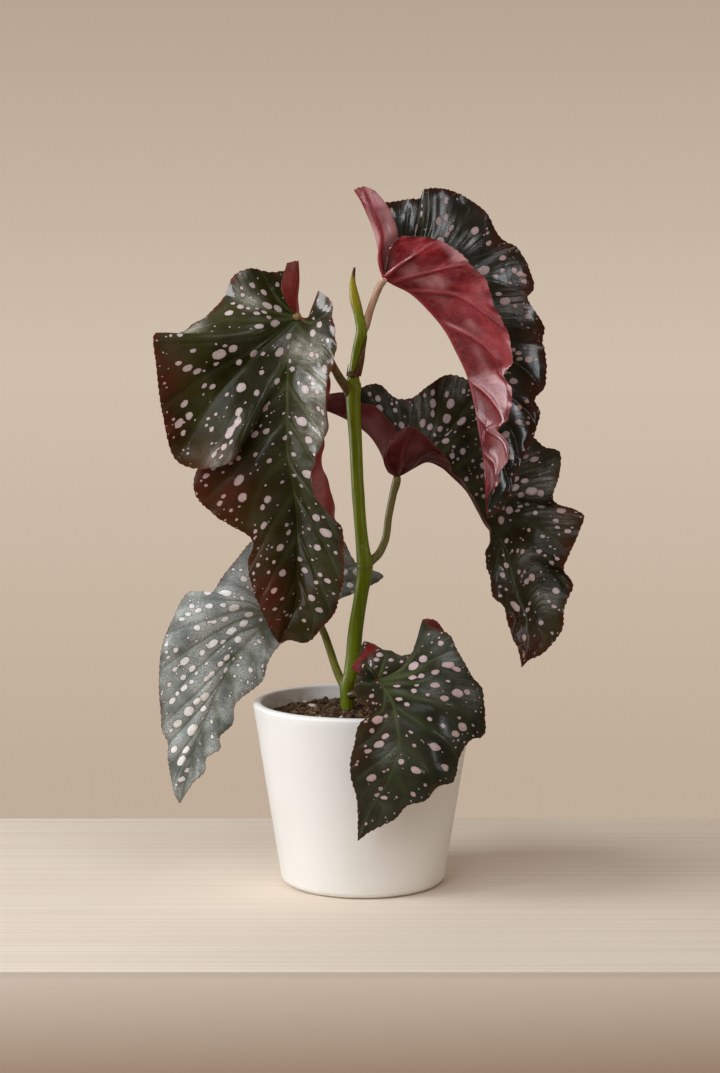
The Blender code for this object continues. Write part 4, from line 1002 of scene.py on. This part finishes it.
def soil_bed():
    """The soil's crumbly top, side and underside."""
    sides, rings = ((190, 66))
    edge = inner_radius(SOIL_TOP) - 0.35
    angles = np.linspace(0, 2 * math.pi, sides, endpoint=False)
    points, rows = [], rings + 2
    for angle in angles:
        for ring in range(rings):
            radius = edge * (1 - ring / rings)
            x, y = radius * math.cos(angle), radius * math.sin(angle)
            points.append((x, y, soil_height(x, y)))
        low = inner_radius(FLOOR + 4) - 0.5
        points.append((edge * 0.985 * math.cos(angle), edge * 0.985 * math.sin(angle), 92.0))
        points.append((low * math.cos(angle), low * math.sin(angle), FLOOR + 3.6))
    faces = []
    order = [rings + 1, rings] + list(range(rings))
    for one in range(sides):
        two = (one + 1) % sides
        for a, b in zip(order[:-1], order[1:]):
            faces.append((one * rows + a, two * rows + a, two * rows + b, one * rows + b))
        faces.append((one * rows + rings - 1, two * rows + rings - 1, sides * rows))
        faces.append((two * rows + rings + 1, one * rows + rings + 1, sides * rows + 1))
    points += [(0, 0, soil_height(0, 0)), (0, 0, FLOOR + 3.6)]
    return np.array(points), faces


def make_soil():
    draw = np.random.default_rng(11)
    points, faces = soil_bed()
    parts = [(points, faces, 0)]
    crumbs = 1700
    for index, (x, y) in enumerate(zip(*scatter(draw, crumbs, 2.6))):
        size = 0.4 + 2.0 * draw.random() ** 2.6
        shape = size * np.array([1.0, 0.75 + 0.3 * draw.random(), 0.55 + 0.35 * draw.random()])
        centre = np.array([x, y, soil_height(x, y) + 0.25 * size])
        kind = 1 if draw.random() < 0.22 else 0
        parts.append((*blob(centre, shape, index, lump=0.55), kind))
    for index, (x, y) in enumerate(zip(*scatter(draw, 46, 2.4))):
        size = 0.7 + 1.5 * draw.random() ** 1.5
        shape = size * np.array([1.0, 0.85, 0.75])
        centre = np.array([x, y, soil_height(x, y) + 0.4 * size])
        parts.append((*blob(centre, shape, 900 + index, lump=0.35), 2))
    for index, (x, y) in enumerate(zip(*scatter(draw, 330, 6.0))):
        long = 1.4 + 4.2 * draw.random() ** 1.6
        shape = np.array([long, 0.22 + 0.3 * draw.random(), 0.2 + 0.25 * draw.random()])
        centre = np.array([x, y, soil_height(x, y) + 0.55])
        chip, chip_faces = blob(centre, shape, 1500 + index, rings=4, sides=6, lump=0.25)
        chip = turned_about(chip, centre, draw.random() * 6.3, 0.0)
        lean = (draw.random() - 0.35) * 0.5
        chip[:, 2] += (chip[:, 0] - x) * lean
        parts.append((chip, chip_faces, 1))
    all_points, all_faces, kinds, start = [], [], [], 0
    for points, faces, kind in parts:
        all_points.append(points)
        all_faces += [tuple(start + i for i in face) for face in faces]
        kinds += [kind] * len(faces)
        start += len(points)
    new_piece("soil_crumbs", np.vstack(all_points), all_faces,
              [soil_material(), bark_material(), perlite_material()], "soil", kinds)


# Cane, stalks and sheath

def make_stem():
    line = np.array(STEM_LINE, float)
    count, sides = ((330, 40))
    path = read_line(line, np.linspace(0, 1, count))
    z = path[:, 2]
    radius = np.maximum(path[:, 3], 0.3)
    scar = sum(np.exp(-((z - h) / 1.0) ** 2) for h in NODE_HEIGHTS)
    radius = radius * (1 + 0.028 * scar) * (1 + 0.32 * np.clip((z - BUD_FROM - 2) / 10, 0, 1))
    radius *= 1 - 0.035 * sum(np.exp(-((z - h - 1.9) / 0.8) ** 2) for h in NODE_HEIGHTS)
    bud = np.clip((z - BUD_FROM) / (z.max() - BUD_FROM), 0, 1)

    def shape(angles):
        ribs = 0.010 * np.cos(9 * angles)[None] + 0.007 * np.cos(14 * angles + 1.0)[None]
        drift = bumps(np.stack(np.broadcast_arrays(
            3 * np.cos(angles)[None], 3 * np.sin(angles)[None], z[:, None] / 3.0), -1), 3.0)
        seam = np.exp(-(((angles - 3.6) / 0.35) ** 2))[None] * (bud > 0.06)[:, None]
        flat = 0.16 * np.cos(2 * angles)[None] * np.minimum(1, 3 * bud)[:, None]
        return 1 + ribs + 0.025 * drift - 0.16 * seam + flat

    rings = tube_points(path[:, :3], radius, sides, shape)
    points, faces = closed_tube(rings)
    stem = new_piece("cane", points, faces, [stem_material()], "stem")
    ends = [0.0, 0.0]
    store(stem, "scar", np.concatenate([np.repeat(scar, sides), ends]))
    store(stem, "bud", np.concatenate([np.repeat(bud, sides), [0.0, 1.0]]))


def make_stalk(name, looks):
    line = np.array(looks["line"], float)
    joint = LEAVES["leaf_" + name]["joint"]
    line = np.vstack([line, [*joint, 1.5]])
    if name == "upper_left":
        line = np.vstack([line, line[-1] + [-0.6, -3.0, 0.8, 0.5]])
    count, sides = ((96, 26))
    at = np.linspace(0, 1, count)
    path = read_line(line, at)
    length = path_length(path[:, :3])
    base = np.exp(-(length / 4.5) ** 2)
    end = np.exp(-((length[-1] - length) / 2.6) ** 2)
    radius = path[:, 3] * (1 + 0.10 * base + 0.22 * end)

    def shape(angles):
        groove = np.exp(-(((angles - 1.5) / 0.4) ** 2))[None]
        drift = bumps(np.stack(np.broadcast_arrays(
            3 * np.cos(angles)[None], 3 * np.sin(angles)[None], length[:, None] / 2.5), -1), 2.2)
        return 1 - 0.07 * groove + (0.03 + 0.12 * end[:, None]) * drift

    points, faces = closed_tube(tube_points(path[:, :3], radius, sides, shape))
    stalk = new_piece("stalk_" + name, points, faces, [stalk_material(name, looks["colours"])],
                      "petiole_" + name)
    store(stalk, "end", np.concatenate([np.repeat(end, sides), [0.0, 1.0]]))


def make_sheath():
    """Dry sheath about the shoot above the top node, tall on the right, ragged and curled."""
    line = np.array(STEM_LINE)
    columns, rows = ((150, 44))
    angles = np.radians(np.linspace(-200, 110, columns))
    sheet = np.zeros((columns, rows, 3))
    share = np.linspace(0, 1, rows)
    for index, angle in enumerate(angles):
        tall = SHEATH_HEIGHT * math.exp(-(angle / 0.95) ** 2)
        tall += 4.0 * math.exp(-((angle + 3.05) / 0.25) ** 2) + 2.5
        tall *= 1 + 0.05 * noise.noise(Vector((angle * 9, 0, 4))) * (1 + abs(angle))
        z = SHEATH_BASE + tall * share
        x = np.interp(z, line[:, 2], line[:, 0])
        radius = np.interp(z, line[:, 2], line[:, 3]) + 0.75
        radius = radius + 1.1 * np.sin(math.pi * share) * math.exp(-(angle / 1.2) ** 2)
        crease = [noise.noise(Vector((angle * 3.1, s * 2.2, 6))) for s in share]
        radius = radius + 0.30 * np.array(crease) * share
        sheet[index] = np.stack([x + radius * math.cos(angle), radius * math.sin(angle), z], -1)
    normal = unit(np.cross(np.gradient(sheet, axis=0), np.gradient(sheet, axis=1)))
    half = 0.17
    points = np.vstack([(sheet + half * normal).reshape(-1, 3),
                        (sheet - half * normal).reshape(-1, 3)])
    top = grid_faces(columns, rows, closed=False)
    under = [tuple(i + columns * rows for i in face[::-1]) for face in top]
    faces = top + under + rim_faces(top, columns * rows)
    new_piece("sheath_papery", points, faces, [sheath_material()], "sheath")


def rim_faces(faces, offset):
    """Quads that join the border of a sheet to the border of its copy, offset points on."""
    used = {}
    for face in faces:
        for a, b in zip(face, face[1:] + face[:1]):
            used[(a, b)] = True
    return [(b, a, a + offset, b + offset) for a, b in used if (b, a) not in used]


# Leaves

def half_grid(leaf, side, body, fan):
    """Fine grid of one half of a leaf, as in the solid: columns about the joint, then one at
    each body station along the midrib. Rows run from the joint or midrib to the edge."""
    midrib = np.array(leaf["midrib"], float)
    share = along(midrib)
    leaves_at = np.array([start for start, _ in leaf[side]] + [1.0])
    roots = smooth_curve(share, midrib, leaves_at)
    lines = [np.vstack([root, points]) for root, (_, points) in zip(roots, leaf[side])]
    coarse = np.array([read_line(line, np.linspace(0, 1, CAD_ROWS + 1)) for line in lines]
                      + [np.repeat(midrib[-1:], CAD_ROWS + 1, axis=0)])
    steps = (np.linalg.norm(np.diff(coarse[:, -1], axis=0), axis=1)
             + np.linalg.norm(np.diff(coarse[:, CAD_ROWS // 2], axis=0), axis=1))
    places = np.concatenate([[0.0], np.cumsum(steps + 0.3)])
    out = 1 - (1 - np.linspace(0, 1, LEAF_ROWS)) ** 1.25
    ribs = np.array([read_line(line, out) for line in lines]
                    + [np.repeat(midrib[-1:], LEAF_ROWS, axis=0)])
    fan_end = int(np.sum(leaves_at == 0)) - 1
    at = np.concatenate([np.linspace(0, places[fan_end], fan, endpoint=False),
                         np.interp(body, leaves_at[fan_end:], places[fan_end:])])
    grid = smooth_curve(places, ribs, at)
    starts = np.repeat(midrib[:1], len(at), axis=0)
    starts[fan:] = smooth_curve(share, midrib, body)
    grid += (1 - out)[None, :, None] * (starts - grid[:, 0])[:, None, :]
    return grid, at / places[-1]


def vein_fields(grid, at, body, fan, veins):
    """How near each point is to a vein, and how far across its panel between two veins."""
    across = path_length(grid, axis=0)
    outward = path_length(grid, axis=1)
    columns, rows = grid.shape[:2]
    row_share = np.linspace(0, 1, rows)
    body_at = np.concatenate([[at[fan]], at[fan:]])
    body_from = np.concatenate([[0.0], body])
    lines, near, main = [], np.zeros((columns, rows)), np.zeros((columns, rows))
    for number, (root, end) in enumerate(veins):
        start = end if root == 0 and end < at[fan] else np.interp(root, body_from, body_at)
        route = start + (end - start) * row_share ** 0.85
        column = np.interp(route, at, np.arange(columns))
        low = np.clip(column.astype(int), 0, columns - 2)
        part = column - low
        rows_at = np.arange(rows)
        place = across[low, rows_at] * (1 - part) + across[low + 1, rows_at] * part
        lines.append((column, place))
        depth = outward[low, rows_at]
        slope = np.gradient(place) / np.maximum(np.gradient(depth), 0.2)
        gap = np.abs(across - place[None]) / np.sqrt(1 + np.minimum(slope, 3) ** 2)[None]
        width = (0.95 if root or number % 2 else 0.75) * (1 - 0.62 * row_share)[None] + 0.12
        strength = np.exp(-(gap / width) ** 2) * (1 - 0.75 * row_share ** 2)[None]
        near = np.maximum(near, strength)
        fade = 1.0 if root == 0 else 0.6 * (1 - root) ** 2
        main = np.maximum(main, fade * strength * np.exp(-(outward / 30.0) ** 2))
        fork = np.clip((row_share - 0.5) / 0.5, 0, 1)
        for way in (-1, 1):
            reach = way * fork * 0.26 * (across[-1] - across[0]) / len(veins)
            gap = np.abs(across - (place + reach)[None])
            twig = 0.4 * np.exp(-(gap / 0.6) ** 2) * (fork > 0)[None] * (1 - fork * 0.6)[None]
            near = np.maximum(near, twig)
    return near, main, panel_share(across, lines)


def panel_share(across, lines):
    """0 on a vein and 1 half way to the next, and the width of the panel in millimetres."""
    places = np.array([place for _, place in lines])
    places = np.vstack([across[0][None] - 3, np.sort(places, axis=0), across[-1][None] + 3])
    middle, width = np.zeros_like(across), np.ones_like(across)
    for row in range(across.shape[1]):
        spot = np.clip(np.searchsorted(places[:, row], across[:, row]) - 1, 0, len(places) - 2)
        low, high = places[spot, row], places[spot + 1, row]
        share = (across[:, row] - low) / np.maximum(high - low, 0.4)
        middle[:, row] = np.clip(4 * share * (1 - share), 0, 1)
        width[:, row] = high - low
    return middle, width


def soften(values, times=4):
    """Blur a grid of values a little, along both of its directions."""
    for _ in range(times):
        padded = np.pad(values, 1, mode="edge")
        values = (2 * values + padded[:-2, 1:-1] + padded[2:, 1:-1] + padded[1:-1, :-2]
                  + padded[1:-1, 2:]) / 6
    return values


def edge_distance(grid, fan):
    """Millimetres from each point to the leaf's edge, counting the sides of the cleft."""
    outward = path_length(grid, axis=1)
    across = path_length(grid, axis=0)
    cleft = np.where(np.arange(len(grid))[:, None] < fan, across, 99.0)
    return np.minimum(outward[:, -1:] - outward, cleft + 0.0)


def toothed(grid, margin, seed, tooth):
    """Move the edge in and out in small uneven teeth that lean towards the tip."""
    draw = np.random.default_rng(seed)
    edge = path_length(grid[:, -1])
    marks, lengths = [0.0], []
    while marks[-1] < edge[-1]:
        lengths.append(TOOTH_EVERY * (0.65 + 0.7 * draw.random()))
        marks.append(marks[-1] + lengths[-1])
    marks = np.array(marks)
    sizes = tooth * (0.45 + 0.75 * draw.random(len(marks)))
    index = np.clip(np.searchsorted(marks, edge, side="right") - 1, 0, len(marks) - 2)
    share = (edge - marks[index]) / (marks[index + 1] - marks[index])
    profile = np.where(share < 0.72, share / 0.72, (1 - share) / 0.28) - 0.55
    ends = np.minimum(1, np.minimum(edge, edge[-1] - edge) / 8)
    reach = sizes[index] * profile * ends
    outward = unit(grid[:, -1] - grid[:, -4])
    soft = np.exp(-(margin / 1.5) ** 2)
    return grid + soft[..., None] * (outward * reach[:, None])[:, None, :]


def spots(grid, margin, middle, width, near, seed, density):
    """Signed distance in millimetres to the nearest pale spot. Large spots lie in rows half
    way between veins, and small ones are nearer the edge and the joint."""
    draw = np.random.default_rng(seed)
    across, outward = path_length(grid, axis=0), path_length(grid, axis=1)
    step_a = np.linalg.norm(np.gradient(grid, axis=0), axis=-1)
    step_b = np.linalg.norm(np.gradient(grid, axis=1), axis=-1)
    area = step_a * step_b
    field = np.full(area.shape, 9.0)
    order = draw.choice(area.size, size=int(area.sum() * density), p=(area / area.sum()).ravel())
    taken = []
    for flat in order:
        i, j = np.unravel_index(flat, area.shape)
        big = middle[i, j] ** 1.5 * min(1.0, width[i, j] / 8)
        inset = min(1.0, max(0.0, margin[i, j] - 1.2) / 9)
        if draw.random() > 0.22 + 0.9 * big or near[i, j] > 0.35 or margin[i, j] < 0.9:
            continue
        size = (0.35 + 2.05 * inset * big) * (0.55 + 0.6 * draw.random())
        if draw.random() < 0.36:
            size = 0.32 + 0.35 * draw.random()
        if outward[i, j] < 10:
            size *= 0.6
        centre = grid[i, j]
        apart = 0.85 if draw.random() < 0.06 else 1.3
        if any(np.linalg.norm(centre - c) < apart * (size + s) + 0.4 for c, s in taken):
            continue
        taken.append((centre, size))
        reach_a = int(3.2 * (size + 1.5) / max(step_a[i, j], 0.25)) + 2
        reach_b = int(3.2 * (size + 1.5) / max(step_b[i, j], 0.25)) + 2
        block = (slice(max(0, i - reach_a), i + reach_a + 1),
                 slice(max(0, j - reach_b), j + reach_b + 1))
        direction = unit(grid[i, min(j + 1, grid.shape[1] - 1)] - grid[i, max(j - 1, 0)])
        delta = grid[block] - centre
        along_vein = delta @ direction
        aside = np.sqrt(np.maximum((delta ** 2).sum(-1) - along_vein ** 2, 0))
        long = 1.1 + 0.65 * draw.random()
        distance = np.sqrt((along_vein / long) ** 2 + aside ** 2) - size
        field[block] = np.minimum(field[block], distance)
    return field


def leaf_half(leaf, look, name, side, body, fan):
    """One half of a leaf with everything its mesh and marks need."""
    grid, at = half_grid(leaf, side, body, fan)
    margin = edge_distance(grid, fan)
    veins = VEINS[name][side]
    near, main, (middle, width) = vein_fields(grid, at, body, fan, veins)
    outward = path_length(grid, axis=1)
    seed = look["seed"] + (50 if side == "left" else 0)
    rib = np.exp(-(outward / (1.5 - 0.9 * np.clip(at, 0, 1))[:, None]) ** 2)
    rib[:fan] *= 0.6
    from_tip = np.clip(1 - at, 0, 1)[:, None]
    near, main = np.maximum(near, rib), np.maximum(main, rib * from_tip ** 0.6)
    spot = spots(grid, margin, middle, width, near, seed, look.get("density", 0.036))
    grid = toothed(grid, margin, seed, TOOTH)
    inset = np.clip(margin / 5, 0, 1) * np.clip(outward / 6, 0, 1)
    uneven = 0.75 + 0.7 * bumps(grid[::4, ::4], 26.0, seed)
    uneven = uneven.repeat(4, axis=0).repeat(4, axis=1)[:len(grid), :grid.shape[1]]
    uneven = soften(uneven)
    quilt = look["quilt"] * uneven * middle ** 0.8 * np.clip(width / 12, 0, 1.2) * inset
    quilt -= 0.28 * near * inset
    edge = path_length(grid[:, -1])
    wave = np.sin(edge / 2.3 + 1.7 * np.sin(edge / 11.0 + seed))
    quilt += 0.42 * wave[:, None] * np.exp(-(margin / 3.5) ** 2) * np.clip(outward / 12, 0, 1)
    ray = np.broadcast_to((at * edge[-1] + (300 if side == "right" else 0))[:, None], near.shape)
    return {"grid": grid, "margin": margin, "near": near, "main": main, "spot": spot,
            "lift": quilt, "ray": ray, "out": outward,
            "panel": middle * np.clip(width / 9, 0, 1)}


def leaf_sheet(halves, fan, body):
    """Weld two halves along the midrib: one list of points, their fields and their faces."""
    keys = ("margin", "near", "main", "spot", "lift", "ray", "out", "panel")
    points, fields, faces = [halves["left"]["grid"][0, 0]], [], []
    fields.append([halves["left"][key][0, 0] for key in keys])
    spine = {}
    for place in range(len(body)):
        index = fan["left"] + place
        spine[place] = len(points)
        points.append(halves["left"]["grid"][index, 0])
        fields.append([halves["left"][key][index, 0] for key in keys])
    start = len(points)
    points, fields = [np.array(points)], [np.array(fields)]
    for side in ("left", "right"):
        half = halves[side]
        columns, rows = half["grid"].shape[:2]
        last = columns - 1
        points.append(half["grid"][:last, 1:].reshape(-1, 3))
        fields.append(np.stack([half[key][:last, 1:].ravel() for key in keys], -1))

        def number(column, row):
            if column == last:
                return spine[len(body) - 1]
            if row == 0:
                return 0 if column < fan[side] else spine[column - fan[side]]
            return start + column * (rows - 1) + row - 1

        for one in range(last):
            for row in range(rows - 1):
                corners = [number(one, row), number(one + 1, row),
                           number(one + 1, row + 1), number(one, row + 1)]
                kept = [v for k, v in enumerate(corners) if v != corners[k - 1]]
                if len(kept) > 2:
                    faces.append(tuple(kept[::-1] if side == "left" else kept))
        start += last * (rows - 1)
    return np.vstack(points), np.vstack(fields), faces


def point_normals(points, faces):
    mesh = bpy.data.meshes.new("normals")
    mesh.from_pydata(points.tolist(), [], faces)
    normals = np.zeros(len(points) * 3, dtype=np.float32)
    mesh.vertex_normals.foreach_get("vector", normals)
    bpy.data.meshes.remove(mesh)
    return normals.reshape(-1, 3).astype(float)


def near_places(points, places):
    value = np.zeros(len(points))
    for x, y, z, size in places:
        gap = np.linalg.norm(points - np.array([x, y, z]), axis=1)
        value = np.maximum(value, np.exp(-(gap / size) ** 2))
    return value


def make_leaf(name):
    leaf, look = LEAVES[name], LEAF_LOOKS[name]
    lengths = {}
    for side in ("left", "right"):
        edge = np.array([points[-1] for _, points in leaf[side]] + [leaf["midrib"][-1]], float)
        steps = np.linalg.norm(np.diff(edge, axis=0), axis=1)
        first = sum(1 for start, _ in leaf[side] if start == 0) - 1
        lengths[side] = (steps[:first].sum(), steps[first:].sum())
    fan = {side: max(12, int(lengths[side][0] * 1.12 / STEP)) for side in lengths}
    count = int(max(lengths[side][1] for side in lengths) * 1.12 / STEP)
    body = np.linspace(0, 1, count + 1) ** 1.0
    body = body[1:] if body[0] == 0 else body
    halves = {side: leaf_half(leaf, look, name, side, body, fan[side]) for side in lengths}
    points, fields, faces = leaf_sheet(halves, fan, body)
    margin, near, main, spot, lift, ray, out, panel = fields.T
    points = points + np.array(leaf["joint"], float)
    normals = look["upper"] * point_normals(points, faces)
    points = points + normals * lift[:, None]
    normals = look["upper"] * point_normals(points, faces)
    thick = BLADE_AT_EDGE + (BLADE - BLADE_AT_EDGE) * np.clip(margin / 3, 0, 1)
    upper = points + normals * (thick / 2 - 0.10 * near)[:, None]
    under = points - normals * (thick / 2 + 0.26 * near + 0.40 * main)[:, None]
    total = len(points)
    if look["upper"] < 0:
        top_faces = [face[::-1] for face in faces]
    else:
        top_faces = faces
    under_faces = [tuple(i + total for i in face[::-1]) for face in top_faces]
    rim = rim_faces(top_faces, total)
    kinds = [0] * len(top_faces) + [1] * len(under_faces) + [0] * len(rim)
    piece = new_piece("blade" + name[4:], np.vstack([upper, under]),
                      top_faces + under_faces + rim,
                      [leaf_upper_material(name, look), leaf_under_material(name, look)],
                      name, kinds)
    piece.data.set_sharp_from_angle(angle=math.radians(48))
    # red: places that turn red-brown, partly the leaf's own tint and partly painted glow of light shining
    # through.
    red = near_places(points, look["red"])
    fold = near_places(points, look.get("fold", []))
    # pale: places given a painted silvery sheen.
    pale = near_places(points, look["pale"])
    for key, values in (("margin", margin), ("vein", near), ("main_vein", main),
                        ("spot", spot), ("red", red), ("pale", pale), ("ray", ray), ("out", out),
                        ("panel", panel), ("fold", fold)):
        store(piece, key, np.concatenate([values, values]))


# Table, light and camera

def stage_material():
    """Pale wood on top, and a plain front face with painted shading: lighter just under the edge and darker
    downwards.
    """
    n = Nodes("table_pale")
    long = n.noise(1.0, 5, n.stretched((5, 110, 110)))
    split = n.tree.nodes.new("ShaderNodeSeparateXYZ")
    n.link(n.place(), split.inputs[0])
    front = n.span(split.outputs["Z"], 0.480, 0.4955, 1.0, 0.0)
    # Painted shading on the front face: lighter just under the edge, darker towards the bottom.
    low = n.span(split.outputs["Z"], 0.300, 0.488, 1.0, 0.0, smooth=False)
    colour = n.mix(n.span(long, 0.3, 0.7), (0.73, 0.62, 0.505), (0.80, 0.70, 0.59))
    face = n.mix(low, (0.90, 0.76, 0.63), (0.50, 0.365, 0.262))
    colour = n.mix(front, colour, face)
    plain = n.math("SUBTRACT", 1.0, front)
    n.set(Specular_IOR_Level=0.0)
    fine = n.bump(n.math("MULTIPLY", n.noise(160, 3), front), 0.15, 0.5)
    return n.finish(colour, 0.6, n.bump(n.math("MULTIPLY", long, plain), 0.08, 0.2, fine))


def make_stage():
    """A pale table slab behind and in front of the pot."""
    bpy.ops.mesh.primitive_cube_add(size=1.0, location=(0.0, -0.011, -0.1502))
    table = bpy.context.object
    table.name = "table"
    table.scale = (2.6, 0.352, 0.3)
    bevel = table.modifiers.new("Edge", "BEVEL")
    bevel.width = 0.004
    bevel.segments = 5
    table.data.materials.append(stage_material())


def make_world():
    world = bpy.data.worlds.new("studio")
    bpy.context.scene.world = world
    world.use_nodes = True
    tree = world.node_tree
    place = tree.nodes.new("ShaderNodeTexCoord")
    split = tree.nodes.new("ShaderNodeSeparateXYZ")
    tree.links.new(place.outputs["Generated"], split.inputs[0])
    ramp = tree.nodes.new("ShaderNodeValToRGB")
    spread = tree.nodes.new("ShaderNodeMapRange")
    for key, number in (("From Min", -0.5), ("From Max", 0.5)):
        spread.inputs[key].default_value = number
    tree.links.new(split.outputs["Z"], spread.inputs["Value"])
    tree.links.new(spread.outputs["Result"], ramp.inputs["Fac"])
    stops = ((0.30, (0.525, 0.42, 0.325)), (0.38, (0.575, 0.468, 0.364)),
             (0.48, (0.63, 0.522, 0.420)), (0.64, (0.475, 0.379, 0.293)))
    while len(ramp.color_ramp.elements) < len(stops):
        ramp.color_ramp.elements.new(0.5)
    for element, (at, colour) in zip(ramp.color_ramp.elements, stops):
        element.position = at
        element.color = colour + (1.0,)
    backdrop = tree.nodes["Background"]
    tree.links.new(ramp.outputs["Color"], backdrop.inputs["Color"])
    seen = tree.nodes.new("ShaderNodeLightPath")
    shader = backdrop
    behind = tree.nodes.new("ShaderNodeMapRange")
    behind.inputs["From Min"].default_value = 0.15
    behind.inputs["From Max"].default_value = 0.75
    tree.links.new(split.outputs["Y"], behind.inputs["Value"])
    mirrored = tree.nodes.new("ShaderNodeMix")
    mirrored.data_type = "RGBA"
    mirrored.inputs["A"].default_value = (0.024, 0.019, 0.013, 1.0)
    mirrored.inputs["B"].default_value = (0.33, 0.265, 0.205, 1.0)
    tree.links.new(behind.outputs["Result"], mirrored.inputs["Factor"])
    for ray in ("Is Diffuse Ray", "Is Glossy Ray"):
        room = tree.nodes.new("ShaderNodeBackground")
        room.inputs["Color"].default_value = (0.172, 0.124, 0.087, 1.0)
        if ray == "Is Glossy Ray":
            tree.links.new(mirrored.outputs["Result"], room.inputs["Color"])
        share = tree.nodes.new("ShaderNodeMixShader")
        tree.links.new(seen.outputs[ray], share.inputs["Fac"])
        tree.links.new(shader.outputs[0], share.inputs[1])
        tree.links.new(room.outputs["Background"], share.inputs[2])
        shader = share
    tree.links.new(shader.outputs[0], tree.nodes["World Output"].inputs["Surface"])


def add_light(name, place, aim, size, power, colour, diffuse=True, glossy=True):
    light = bpy.data.lights.new(name, "AREA")
    light.shape = "RECTANGLE"
    light.size, light.size_y = size
    light.energy = power
    light.color = colour
    item = bpy.data.objects.new(name, light)
    item.location = place
    direction = Vector(aim) - Vector(place)
    item.rotation_euler = direction.to_track_quat("-Z", "Y").to_euler()
    item.visible_diffuse = diffuse
    item.visible_glossy = glossy
    bpy.context.scene.collection.objects.link(item)


def make_camera():
    data = bpy.data.cameras.new("camera")
    data.lens = 75
    data.sensor_width = 36
    camera = bpy.data.objects.new("camera", data)
    camera.location = (-0.00173, -1.3065, 0.3316)
    camera.rotation_euler = (math.radians(90 - 5.53), 0, 0)
    bpy.context.scene.collection.objects.link(camera)
    bpy.context.scene.camera = camera


def build():
    make_pot()
    make_soil()
    make_stem()
    for name, looks in STALKS.items():
        make_stalk(name, looks)
    make_sheath()
    for name in LEAVES:
        make_leaf(name)
    make_stage()
    make_world()
    add_light("key", (-1.30, -0.42, 1.02), (0, 0, 0.20), (0.85, 0.85), 21, (0.88, 0.94, 1.0),
              glossy=False)
    add_light("front", (-0.75, -1.30, 0.78), (0, 0, 0.20), (1.0, 1.0), 10.5, (0.90, 0.95, 1.0),
              glossy=False)
    add_light("fill", (1.15, -0.75, 0.55), (0, 0, 0.22), (0.6, 1.0), 1.6, (1.0, 0.90, 0.80),
              glossy=False)
    add_light("back", (-0.35, 1.05, 1.05), (0, 0.1, 0.10), (0.9, 0.6), 2.5, (0.95, 0.97, 1.0),
              glossy=False)
    add_light("top", (0.30, -0.85, 1.25), (0, 0, 0.30), (0.7, 0.45), 3.5, (0.90, 0.96, 1.0))
    add_light("front panel", (-0.90, -0.95, 0.95), (0, 0, 0.22), (0.7, 0.7), 5.5,
              (0.88, 0.95, 1.0), diffuse=False)
    add_light("left panel", (-1.25, 0.04, 0.40), (-0.05, 0, 0.27), (0.5, 0.6), 24,
              (0.98, 0.98, 1.0), diffuse=False)
    add_light("low left panel", (-0.96, -0.54, 0.04), (0.06, 0, 0.33), (0.5, 0.45), 3.0,
              (1.0, 0.96, 0.97), diffuse=False)
    add_light("right panel", (0.93, -0.82, 0.38), (0.1, 0, 0.33), (0.2, 0.4), 3.0,
              (0.88, 0.95, 1.0), diffuse=False)
    make_camera()
    bpy.context.scene.view_settings.view_transform = "Standard"


build()
